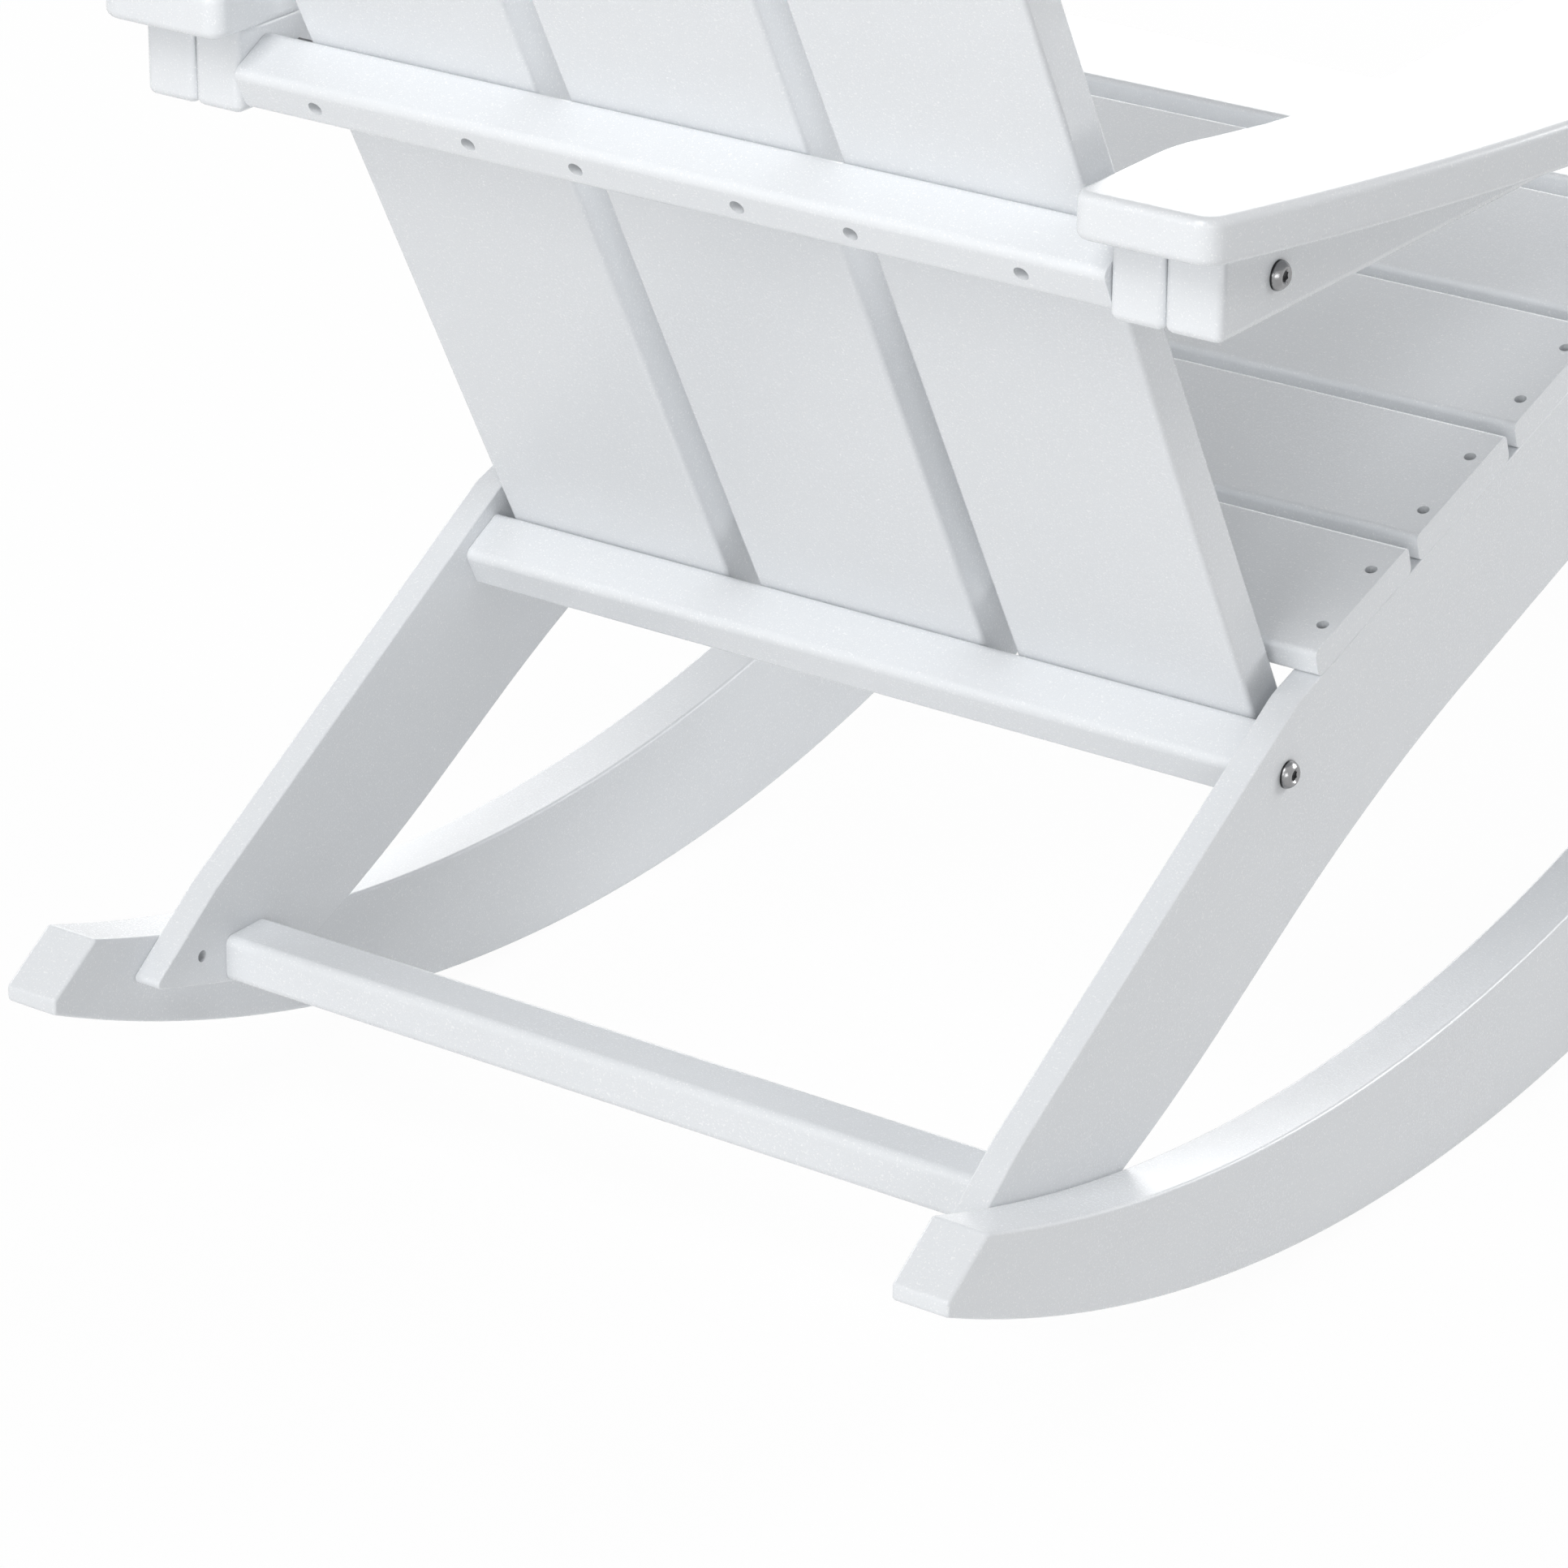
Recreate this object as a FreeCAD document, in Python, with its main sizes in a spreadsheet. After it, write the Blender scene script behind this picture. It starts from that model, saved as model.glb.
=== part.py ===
import FreeCAD, Part
import Sketcher
import math
import os
import re

from FreeCAD import Placement, Rotation, Vector

# Rocking adirondack chair in plastic lumber, in millimetres.
# The sitter faces -Y, the sitter's left is +X, and +Z is up. The origin is the
# point of the floor under the middle of the two rockers, where they touch it.

doc = FreeCAD.newDocument("rocking_adirondack_chair")
sheet = doc.addObject("Spreadsheet::Sheet", "Sizes")

SIZES = [
    # side frames
    ("frame_width", 506, "over the outer faces of the two seat stringers"),
    ("thin_board", 16, "thickness of seat slats and stringers"),
    ("rocker_thickness", 32, "thickness of each rocker"),
    ("leg_thickness", 29, "thickness of front legs and inner arm supports"),
    ("outer_support_thickness", 31, "thickness of the outer arm supports"),
    ("plank_round", 2, "small rounding on sawn planks"),
    ("bar_height", 25, "cross bars, short side"),
    ("bar_depth", 33, "cross bars, long side"),
    ("bar_round", 5, "rounding along the cross bars"),
    # rockers
    ("rocker_radius", 1062, "radius of the running edge"),
    ("rocker_half_length", 462, "half the length of a rocker"),
    ("rocker_top_radius", 1055, "radius of the upper edge"),
    ("rocker_top_shift", 73.5, "how far behind the middle the upper edge is lowest"),
    ("rocker_waist", 74, "height of the upper edge at its lowest"),
    ("rocker_straight_start", 162.5, "where the straight front of the upper edge starts"),
    ("tip_bevel", 32.5, "length of the bevel on each tip"),
    ("tip_nose", 8, "height of the blunt nose under the rear bevel"),
    ("front_tip_nose", 26, "height of the blunt nose under the front bevel"),
    ("tip_round", 3, "rounding of the tip corners"),
    # seat
    ("seat_datum_height", 338, "height of the seat plane above the origin"),
    ("seat_slope", 17.8, "fall of the seat towards the back, degrees"),
    ("seat_rear_reach", 106, "rear edge of the seat behind the origin, along the seat"),
    ("seat_slat_width", 91.5, "width of a seat slat"),
    ("front_slat_width", 91.5, "width of the level slat in front"),
    ("seat_slat_gap", 8, "gap between seat slats"),
    ("front_slat_gap", 9.9, "from the sloping slats to the level one"),
    ("seat_slat_round", 3.5, "rounded long edges of the seat slats"),
    ("seat_screw_spacing", 47.4, "between the two screws in a slat's end"),
    ("seat_screw_inset", 20.8, "rear screw from the rear edge of a seat slat"),
    ("front_screw_inset", 18, "rear screw from the rear edge of the front slat"),
    ("front_screw_spacing", 42, "between the two screws at an end of the front slat"),
    # stringers
    ("stringer_round", 1, "eased long edges of the seat stringers"),
    ("stringer_depth", 100, "upright depth of a stringer under the seat"),
    ("stringer_bend_lead", 16, "upper bend behind the end of the seat"),
    ("stringer_bend_round", 30, "radius of the upper bend"),
    ("lower_bend_start", 45, "lower bend starts this far ahead of the origin"),
    ("lower_bend_middle", 34.7, "where the two lower edges would cross"),
    ("lower_bend_end", 108, "lower bend ends this far behind the origin"),
    ("lower_bend_radius", 950, "radius of the lower bend"),
    ("lower_edge_fall", 0.555, "steepness of the lower edge behind the bend"),
    ("calf_start", 171, "where the hollow of the lower edge starts"),
    ("calf_radius", 900, "radius of that hollow"),
    ("heel_reach", 404.5, "heel of the stringer behind the origin"),
    ("heel_lift", 22, "heel above the running edge of the rocker"),
    ("heel_run", 50, "length of the heel's sloping end"),
    ("heel_rise", 38, "height of the heel's sloping end"),
    ("toe_setback", 97, "front corner of the foot ahead of the heel"),
    ("toe_lift", 27.5, "front corner above the running edge"),
    # back
    ("back_lean", 27.9, "lean of the back from upright, degrees"),
    ("back_board", 25, "thickness of the back slats"),
    ("back_slat_width", 139.5, "width of a back slat"),
    ("back_slat_gap", 19.1, "gap between back slats"),
    ("back_slat_height", 716, "top of the middle slat above the seat, along the back"),
    ("back_slat_round", 3, "rounded edges of the back slats"),
    ("crown_radius", 700, "radius of the arched top of the back"),
    ("crown_corner", 18, "corner radius at the top of the slats"),
    ("back_seat_clearance", 3, "between the rear seat slat and the back slats"),
    ("back_screw_spacing", 94.2, "between the two screws in a back slat"),
    ("lower_rail_drop", 27, "middle of the lower rail below the seat, along the back"),
    ("upper_rail_drop", 2, "middle of the upper rail below that of the arm supports"),
    # stretcher
    ("stretcher_setback", 73, "middle of the rear stretcher ahead of the heel"),
    ("stretcher_lift", 45, "middle of the stretcher above the running edge"),
    # legs, arm supports and arms
    ("apron_setback", 1, "front of the apron behind the edge of the seat"),
    ("apron_board", 16, "thickness of the front apron"),
    ("apron_height", 89, "height of the front apron"),
    ("leg_lead", 22.5, "front of the legs ahead of the stringers"),
    ("leg_depth", 114, "depth of the front legs"),
    ("arm_height", 578.3, "underside of the arms"),
    ("arm_board", 23, "thickness of the arms"),
    ("arm_round", 4.5, "rounding of the arms' edges"),
    ("support_height", 44, "height of the arm supports"),
    ("support_round", 4.5, "rounding of the arm supports' edges"),
    ("slat_foot", 5, "back slats reach this far below the lower rail"),
    ("support_rear_inset", 5, "arm supports end this far ahead of the upper rail"),
    ("arm_rear_overhang", 24.1, "arm behind its supports"),
    ("arm_front_overhang", 10.5, "arm ahead of the leg"),
    ("arm_inset", 6.5, "rear of the arm inside the supports"),
    ("arm_step_start", 84, "straight inner edge at the rear of the arm"),
    ("arm_step_length", 80, "length of the step in the inner edge"),
    ("arm_step_depth", 30, "depth of that step"),
    ("arm_front_spread", 9, "front inner corner inside the frame"),
    ("arm_reach", 147, "widest point of the arm outside the frame"),
    ("arm_sweep_start", 130, "where the outer edge starts to curve, ahead of the origin"),
    ("arm_sweep_radius", 1330, "radius of the outer edge"),
    ("arm_rear_corner", 14, "outer rear corner radius of the arms"),
    ("arm_inner_corner", 9, "inner rear corner radius of the arms"),
    ("arm_front_corner", 55, "front corner radius of the arms"),
    ("arm_step_round", 80, "radius at the start of the step"),
    ("arm_waist_round", 300, "radius at the end of the step"),
    # screws
    ("screw_head", 6.4, "diameter of a screw's recess"),
    ("screw_head_height", 2.6, "height of a screw's head"),
    ("screw_recess", 9, "depth of a screw's recess"),
    ("rail_recess", 8, "diameter of the recesses in the upper back rail"),
    ("screw_shank", 3.6, "diameter of the screws"),
    ("screw_length", 35, "length of the screws under the head"),
    ("screw_shank_play", 0.6, "clearance hole over the screw"),
    ("deep_recess", 20, "depth of the screw recesses in the arm supports"),
    # bolts
    ("bolt_shank", 8, "diameter of the bolts"),
    ("bolt_hole", 8.4, "hole for a bolt"),
    ("bolt_head", 14.5, "diameter of a button head"),
    ("bolt_head_height", 4.6, "height of a button head"),
    ("socket_flats", 5, "across the flats of the hex socket"),
    ("socket_depth", 2.8, "depth of the hex socket"),
    ("nut_flats", 13, "across the flats of a nut"),
    ("nut_height", 8, "height of a nut"),
    ("bolt_end", 2, "bolt beyond its nut"),
    ("insert_diameter", 11, "threaded insert in the lower rail"),
    ("insert_length", 22, "length of that insert"),
    ("lower_bolt_drop", 5, "lower rail bolt below the middle of the rail"),
    ("support_bolt_lead", 47.2, "arm support bolt ahead of the supports' rear end"),
    ("support_bolt_drop", 1.1, "that bolt below the middle of the supports"),
    ("leg_bolt_spacing", 44, "between the pairs of bolts in a leg"),
    ("frame_bolt_lead", 20, "bolts through leg and stringer behind the stringer's end"),
    ("frame_bolt_drop", 36, "upper one of those bolts below the stringer's top"),
    ("frame_bolt_spacing", 30, "between those bolts"),
    ("foot_bolt_grip", 45, "wood between the rocker bolt's head and the leg"),
    ("foot_bolt_reach", 42, "rocker bolt inside the leg"),
    ("foot_bolt_recess", 18, "diameter of the recess under the rocker"),
    ("barrel_diameter", 12, "diameter of the barrel nuts"),
    ("barrel_length", 16, "length of the barrel nuts"),
    ("barrel_rise", 30, "barrel nuts above the foot of the leg"),
    ("pilot_depth", 35, "depth of the pilot holes in edges"),
    ("pilot_room", 1, "pilot holes deeper than the screws"),
    ("screw_head_play", 0.4, "screw head smaller than its recess"),
    ("screw_point", 3, "length of a screw's point"),
    ("screw_head_edge", 0.5, "bevel round a screw head"),
    ("screw_socket_flats", 2.5, "hexagon in a screw head, across flats"),
    ("screw_socket_depth", 1.4, "depth of that hexagon"),
    ("long_screw_bite", 24, "long screws past the legs"),
    ("bolt_rim", 1.2, "straight rim of a bolt head"),
    ("bolt_crown", 2.6, "run of the dome of a bolt head"),
    ("bolt_dome", 6, "radius of that dome"),
    ("bolt_bevel", 0.8, "bevel at a bolt's end"),
    ("insert_room", 8, "insert holes deeper than the inserts"),
    ("foot_screw_run", 38, "lower screw of a stringer foot ahead of the heel"),
    ("foot_screw_lift", 5, "that screw above the heel"),
    ("toe_screw_run", 107, "upper screw of a stringer foot ahead of the heel"),
    ("toe_screw_lift", 17, "that screw above the toe's lift"),
    ("outer_rear_screw", 22, "arm screw ahead of the rear end of the outer support"),
    ("outer_front_screw", 28, "arm screw of that support behind the leg"),
    ("inner_rear_screw", 95, "arm screw ahead of the rear end of the inner support"),
    ("inner_front_screw", 110, "arm screw of that support behind the leg"),
]
SLOPING_SLATS = 4
SIDES = (("left", 1), ("right", -1))

for row, (name, value, note) in enumerate(SIZES, 1):
    sheet.set(f"A{row}", name)
    sheet.set(f"B{row}", str(value))
    sheet.setAlias(f"B{row}", name)
    sheet.set(f"C{row}", note)
doc.recompute()

ALIAS = re.compile(r"\b(" + "|".join(name for name, value, note in SIZES) + r")\b")


def size(expression):
    """The number that an expression of the sheet's names gives."""
    return float(sheet.evalExpression(str(expression)))


def bind(thing, prop, expression):
    """Ties a property to the sheet."""
    thing.setExpression(prop, ALIAS.sub(r"Sizes.\1", str(expression)))


# Heights and places that several pieces share, as expressions of the sheet.


def running_edge(y):
    """Height of the rockers' underside."""
    return f"(rocker_radius - sqrt(rocker_radius ^ 2 - ({y}) ^ 2))"


def rocker_top(y):
    """Height of the curved part of the rockers' upper edge."""
    return (
        "(rocker_waist + rocker_top_radius"
        f" - sqrt(rocker_top_radius ^ 2 - (({y}) - rocker_top_shift) ^ 2))"
    )


def rocker_front_top(y):
    """Height of the straight front of the upper edge, which the legs stand on."""
    start = "-rocker_straight_start"
    run = f"({start} - rocker_top_shift)"
    fall = f"(-{run} / sqrt(rocker_top_radius ^ 2 - {run} ^ 2))"
    return f"({rocker_top(start)} + {fall} * ({start} - ({y})))"


def stringer_top(y):
    """Height of the underside of the seat slats."""
    return (
        "(seat_datum_height - thin_board / cos(seat_slope)"
        f" - ({y}) * tan(seat_slope))"
    )


HALF_FRAME = "(frame_width / 2)"
SEAT_PITCH = "(seat_slat_width + seat_slat_gap)"
SLOPE_END = f"(seat_rear_reach + seat_slat_gap - {SLOPING_SLATS} * {SEAT_PITCH})"
LEVEL_Y = f"({SLOPE_END} * cos(seat_slope) - thin_board * sin(seat_slope) - front_slat_gap)"
LEVEL_Z = stringer_top(LEVEL_Y)
APRON_FRONT = f"({LEVEL_Y} - front_slat_width + apron_setback)"
STRINGER_FRONT = f"({APRON_FRONT} + apron_board)"
LEG_FRONT = f"({STRINGER_FRONT} - leg_lead)"
LEG_REAR = f"({LEG_FRONT} + leg_depth)"
LEG_MIDDLE = f"({LEG_FRONT} + leg_depth / 2)"

SEAT_END_Y = "(seat_rear_reach * cos(seat_slope) - thin_board / 2 * sin(seat_slope))"
SEAT_END_Z = (
    "(seat_datum_height - seat_rear_reach * sin(seat_slope)"
    " - thin_board / 2 * cos(seat_slope))"
)
BACK_Y = f"({SEAT_END_Y} + (back_seat_clearance + back_board) * cos(back_lean))"
BACK_Z = f"({SEAT_END_Z} - (back_seat_clearance + back_board) * sin(back_lean))"

SUPPORT_MIDDLE = "(arm_height - support_height / 2)"
UPPER_RAIL_RISE = (
    f"(({SUPPORT_MIDDLE} - upper_rail_drop - {BACK_Z}"
    " + bar_depth / 2 * sin(back_lean)) / cos(back_lean))"
)
LOWER_RAIL_RISE = "(-lower_rail_drop)"
SUPPORT_REAR = (
    f"({BACK_Y} + ({UPPER_RAIL_RISE} + bar_height / 2) * sin(back_lean)"
    " + bar_depth * cos(back_lean) - support_rear_inset)"
)
SUPPORT_JOINT = f"({HALF_FRAME} + leg_thickness)"
SUPPORT_OUTER = f"({SUPPORT_JOINT} + outer_support_thickness)"

HEEL_Z = f"({running_edge('heel_reach')} + heel_lift)"
TOE_Y = "(heel_reach - toe_setback)"
TOE_Z = f"({running_edge(TOE_Y)} + toe_lift)"
STRETCHER_Y = "(heel_reach - stretcher_setback)"
STRETCHER_Z = f"({running_edge(STRETCHER_Y)} + stretcher_lift)"
BACK_PITCH = "(back_slat_width + back_slat_gap)"

SEAT_FRAME = Placement(
    Vector(0, 0, size("seat_datum_height")), Rotation(Vector(1, 0, 0), -size("seat_slope"))
)
BACK_FRAME = Placement(
    Vector(0, size(BACK_Y), size(BACK_Z)), Rotation(Vector(1, 0, 0), -size("back_lean"))
)


# Helpers for bodies, sketches and features.


def new_body(label):
    body = doc.addObject("PartDesign::Body", label)
    body.Label = label
    return body


def in_seat_frame(body, x="0"):
    """Sets a body in the plane of the seat: local Y runs back along it."""
    body.Placement = SEAT_FRAME
    bind(body, "Placement.Base.x", x)
    bind(body, "Placement.Base.z", "seat_datum_height")
    bind(body, "Placement.Rotation.Angle", "-seat_slope")


def in_back_frame(body):
    """Sets a body in the frame of the back: local Z runs up it, Y to the rear."""
    body.Placement = BACK_FRAME
    bind(body, "Placement.Base.y", BACK_Y)
    bind(body, "Placement.Base.z", BACK_Z)
    bind(body, "Placement.Rotation.Angle", "-back_lean")


def new_sketch(body, name, role, offset=None):
    """A sketch on one of the body's own origin planes, or shifted along its normal."""
    sketch = body.newObject("Sketcher::SketchObject", name)
    plane = next(o for o in body.Origin.OriginFeatures if o.Role == role)
    sketch.AttachmentSupport = [(plane, "")]
    sketch.MapMode = "FlatFace"
    if offset is not None:
        bind(sketch, "AttachmentOffset.Base.z", offset)
    return sketch


def pin(sketch, geometry, point, x, y):
    """Ties a point of the sketch to the sheet."""
    for kind, expression in (("DistanceX", x), ("DistanceY", y)):
        value = size(expression)
        index = sketch.addConstraint(Sketcher.Constraint(kind, -1, 1, geometry, point, value))
        bind(sketch, f"Constraints[{index}]", expression)


def arc_between(start, end, radius):
    """The short arc from start to end with its centre on the left of the way."""
    chord = end - start
    half = chord.Length / 2
    reach = max(radius, half * 1.0001)
    sag = reach - math.sqrt(reach**2 - half**2)
    right = Vector(chord.y, -chord.x, 0).normalize()
    return Part.Arc(start, (start + end) * 0.5 + right * sag, end)


def outline(sketch, corners):
    """A closed outline. A corner is (x, y), or (x, y, radius) when an arc of that
    radius, with its centre inside the outline, leads to the next corner, or
    (x, y, radius, "hollow") when its centre is outside."""
    points = [Vector(size(c[0]), size(c[1]), 0) for c in corners]
    count = len(corners)
    ends = []
    for i, corner in enumerate(corners):
        start, end = points[i], points[(i + 1) % count]
        if len(corner) == 2:
            sketch.addGeometry(Part.LineSegment(start, end), False)
            ends.append((1, 2))
            continue
        if len(corner) == 3:
            sketch.addGeometry(arc_between(start, end, size(corner[2])), False)
            ends.append((1, 2))
        else:
            sketch.addGeometry(arc_between(end, start, size(corner[2])), False)
            ends.append((2, 1))
    for i in range(count):
        following = (i + 1) % count
        sketch.addConstraint(
            Sketcher.Constraint("Coincident", i, ends[i][1], following, ends[following][0])
        )
    for i, corner in enumerate(corners):
        pin(sketch, i, ends[i][0], corner[0], corner[1])
        if len(corner) > 2:
            index = sketch.addConstraint(Sketcher.Constraint("Radius", i, size(corner[2])))
            bind(sketch, f"Constraints[{index}]", corner[2])


def rounded_rectangle(sketch, left, right, low, high, radius):
    """A rectangle with round corners."""
    outline(
        sketch,
        [
            (f"{left} + {radius}", low),
            (f"{right} - {radius}", low, radius),
            (right, f"{low} + {radius}"),
            (right, f"{high} - {radius}", radius),
            (f"{right} - {radius}", high),
            (f"{left} + {radius}", high, radius),
            (left, f"{high} - {radius}"),
            (left, f"{low} + {radius}", radius),
        ],
    )


def circles(sketch, places, diameter):
    for x, y in places:
        circle = Part.Circle(Vector(size(x), size(y), 0), Vector(0, 0, 1), size(diameter) / 2)
        index = sketch.addGeometry(circle, False)
        pin(sketch, index, 3, x, y)
        constraint = sketch.addConstraint(
            Sketcher.Constraint("Diameter", index, size(diameter))
        )
        bind(sketch, f"Constraints[{constraint}]", diameter)


def pad(body, sketch, length, reverse=False, both_ways=False):
    feature = body.newObject("PartDesign::Pad", sketch.Name + "_pad")
    feature.Profile = sketch
    bind(feature, "Length", length)
    feature.Reversed = reverse
    feature.Midplane = both_ways
    sketch.Visibility = False
    doc.recompute()
    return feature


def bore(body, name, role, places, diameter, depth=None, offset=None, reverse=False, tilt=None):
    """Round holes: through everything, or to a depth from the sketch's plane."""
    before = body.Shape.Volume
    sketch = new_sketch(body, name, role, offset)
    if tilt is not None:
        angle, x, z = tilt
        sketch.AttachmentOffset = Placement(
            Vector(size(x), 0, size(z)), Rotation(Vector(1, 0, 0), size(angle))
        )
        bind(sketch, "AttachmentOffset.Base.x", x)
        bind(sketch, "AttachmentOffset.Base.z", z)
        bind(sketch, "AttachmentOffset.Rotation.Angle", angle)
    circles(sketch, places, diameter)
    feature = body.newObject("PartDesign::Pocket", name + "_cut")
    feature.Profile = sketch
    if depth is None:
        feature.Type = "ThroughAll"
        feature.Midplane = True
    else:
        bind(feature, "Length", depth)
        feature.Reversed = reverse
    sketch.Visibility = False
    doc.recompute()
    if not body.Shape.Volume < before - 1:
        raise RuntimeError(f"{body.Label}: {name} cuts nothing")
    return feature


def round_edges(body, name, radius, wanted):
    """Rounds the edges of the body's last feature that the test picks."""
    base = body.Tip
    edges = [f"Edge{i}" for i, edge in enumerate(base.Shape.Edges, 1) if wanted(edge)]
    feature = body.newObject("PartDesign::Fillet", name)
    feature.Base = (base, edges)
    bind(feature, "Radius", radius)
    doc.recompute()
    return feature


def lies_on(axis, *levels):
    """A test for edges that lie wholly in one of the planes across an axis."""

    def test(edge):
        box = edge.BoundBox
        low, high = getattr(box, axis + "Min"), getattr(box, axis + "Max")
        return any(abs(low - v) < 1e-4 and abs(high - v) < 1e-4 for v in levels)

    return test


def crosses_at(axis, spots):
    """A test for straight edges along an axis through one of the given spots."""
    others = [a for a in "XYZ" if a != axis]

    def test(edge):
        box = edge.BoundBox
        if getattr(box, axis + "Length") < 1:
            return False
        return any(
            abs(getattr(box, others[0] + side) - spot[0]) < 1e-3
            and abs(getattr(box, others[1] + side) - spot[1]) < 1e-3
            for spot in spots
            for side in ("Min",)
            if getattr(box, others[0] + "Length") < 1e-3
            and getattr(box, others[1] + "Length") < 1e-3
        )

    return test


def side_plank(label, side, corners, thickness, x, corner_rounds=(), edge="plank_round"):
    """A plank seen from the side: its outline is sawn in the YZ plane, its inner
    face lies at x, and it is that thick outwards. corner_rounds lists
    (radius, corners) for the corners of the outline that are rounded."""
    body = new_body(label)
    bind(body, "Placement.Base.x", f"{side} * {x}")
    sketch = new_sketch(body, label + "_outline", "YZ_Plane")
    outline(sketch, corners)
    pad(body, sketch, thickness, reverse=side < 0)
    for number, (radius, spots) in enumerate(corner_rounds, 1):
        spots = [(size(y), size(z)) for y, z in spots]
        round_edges(body, f"{label}_corners_{number}", radius, crosses_at("X", spots))
    faces = lies_on("X", 0, side * size(thickness))
    round_edges(body, label + "_edges", edge, faces)
    return body


def through_x(body, name, places, diameter):
    """Holes through a side plank."""
    return bore(body, name, "YZ_Plane", places, diameter)


def recess_x(body, name, side, places, diameter, depth, thickness=None):
    """Blind holes in a side plank, from its inner face, or from its outer face
    when the thickness is given."""
    if thickness is None:
        return bore(body, name, "YZ_Plane", places, diameter, depth, reverse=side > 0)
    offset = f"{side} * {thickness}"
    return bore(body, name, "YZ_Plane", places, diameter, depth, offset, side < 0)


# Places of the fasteners, as (x, y) expressions in the frame of what they hold.

SLAT_SCREW_X = f"({HALF_FRAME} - thin_board / 2)"
SCREW_PILOT = "(screw_recess + screw_length + pilot_room)"


def seat_slat_rear(number):
    """Rear edge of a seat slat, along the seat."""
    return f"(seat_rear_reach - {number} * {SEAT_PITCH})"


def seat_slat_screws(number):
    """The two screw places along the seat in one sloping slat."""
    first = f"({seat_slat_rear(number)} - seat_screw_inset)"
    return [first, f"({first} - seat_screw_spacing)"]


SEAT_SCREW_T = [t for n in range(SLOPING_SLATS) for t in seat_slat_screws(n)]
FRONT_SCREW_T = ["(-1 * front_screw_inset)", "(-1 * front_screw_inset - front_screw_spacing)"]
FRONT_SCREW_Y = [f"({LEVEL_Y} + {t})" for t in FRONT_SCREW_T]
BACK_SCREW_X = [
    f"({column} * {BACK_PITCH} + {end} * back_screw_spacing / 2)"
    for column in (-1, 0, 1)
    for end in (-1, 1)
]
TOE_SCREW_Y = "(heel_reach - toe_screw_run)"
FOOT_SCREWS = [
    ("(heel_reach - foot_screw_run)", f"({HEEL_Z} + foot_screw_lift)"),
    (TOE_SCREW_Y, f"({running_edge(TOE_SCREW_Y)} + toe_lift + toe_screw_lift)"),
]
SUPPORT_BOLT = (
    f"({SUPPORT_REAR} - support_bolt_lead)",
    f"({SUPPORT_MIDDLE} - support_bolt_drop)",
)
LEG_BOLT_Y = [f"({LEG_MIDDLE} + {end} * leg_bolt_spacing / 2)" for end in (-1, 1)]
LEG_SUPPORT_BOLTS = [(y, SUPPORT_MIDDLE) for y in LEG_BOLT_Y]
FRAME_BOLT_Y = f"({STRINGER_FRONT} + frame_bolt_lead)"
FRAME_BOLTS = [
    (FRAME_BOLT_Y, f"({LEVEL_Z} - frame_bolt_drop - {n} * frame_bolt_spacing)")
    for n in (0, 1)
]
FOOT_BOLT_X = f"({HALF_FRAME} + leg_thickness / 2)"
RAIL_MIDDLE = "(bar_depth / 2)"
APRON_MIDDLE = f"({LEVEL_Z} - apron_height / 2)"
APRON_SCREWS = [
    (f"({APRON_FRONT} + apron_board / 2)", f"({APRON_MIDDLE} + {end} * apron_height / 4)")
    for end in (-1, 1)
]
OUTER_ARM_SCREW_Y = [
    f"({SUPPORT_REAR} - outer_rear_screw)",
    "0",
    f"({LEG_REAR} + outer_front_screw)",
]
INNER_ARM_SCREW_Y = [
    f"({SUPPORT_REAR} - inner_rear_screw)",
    f"({LEG_REAR} + inner_front_screw)",
]
RAIL_SCREW_D = "(bar_depth / 3)"
RAIL_SCREW_RISE = [f"({UPPER_RAIL_RISE} + {end} * bar_height / 4)" for end in (-1, 1)]


def along_back(rise, depth):
    """World Y and Z of a place in the frame of the back."""
    return (
        f"({BACK_Y} + {rise} * sin(back_lean) + {depth} * cos(back_lean))",
        f"({BACK_Z} + {rise} * cos(back_lean) - {depth} * sin(back_lean))",
    )


UPPER_RAIL_SCREWS = [along_back(rise, RAIL_SCREW_D) for rise in RAIL_SCREW_RISE]
LOWER_RAIL_BOLT = along_back(f"({LOWER_RAIL_RISE} - lower_bolt_drop)", RAIL_MIDDLE)
SHANK_HOLE = "(screw_shank + screw_shank_play)"


# The pieces.


def make_rocker(label, side):
    tip = "rocker_half_length"
    bevel = "(rocker_half_length - tip_bevel)"
    nose = running_edge(tip)
    corners = [
        (f"-{tip}", nose, "rocker_radius"),
        (tip, nose),
        (tip, f"{nose} + tip_nose"),
        (bevel, rocker_top(bevel), "rocker_top_radius", "hollow"),
        ("-rocker_straight_start", rocker_top("-rocker_straight_start")),
        (f"-{bevel}", rocker_front_top(f"-{bevel}")),
        (f"-{tip}", f"{nose} + front_tip_nose"),
    ]
    rounds = [("tip_round", [corners[i][:2] for i in (0, 1, 2, 3, 5, 6)])]
    body = side_plank(label, side, corners, "rocker_thickness", HALF_FRAME, rounds)
    places = [(f"{side} * leg_thickness / 2", y) for y in LEG_BOLT_Y]
    bore(body, label + "_bolt_holes", "XY_Plane", places, "bolt_hole")
    for number, (x, y) in enumerate(places, 1):
        floor = f"({rocker_front_top(y)} - foot_bolt_grip)"
        name = f"{label}_recess_{number}"
        bore(body, name, "XY_Plane", [(x, y)], "foot_bolt_recess", floor, floor)
    depth = "(screw_recess + screw_length - thin_board + 1)"
    recess_x(body, label + "_screw_pilots", side, FOOT_SCREWS, "screw_shank", depth)


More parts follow.
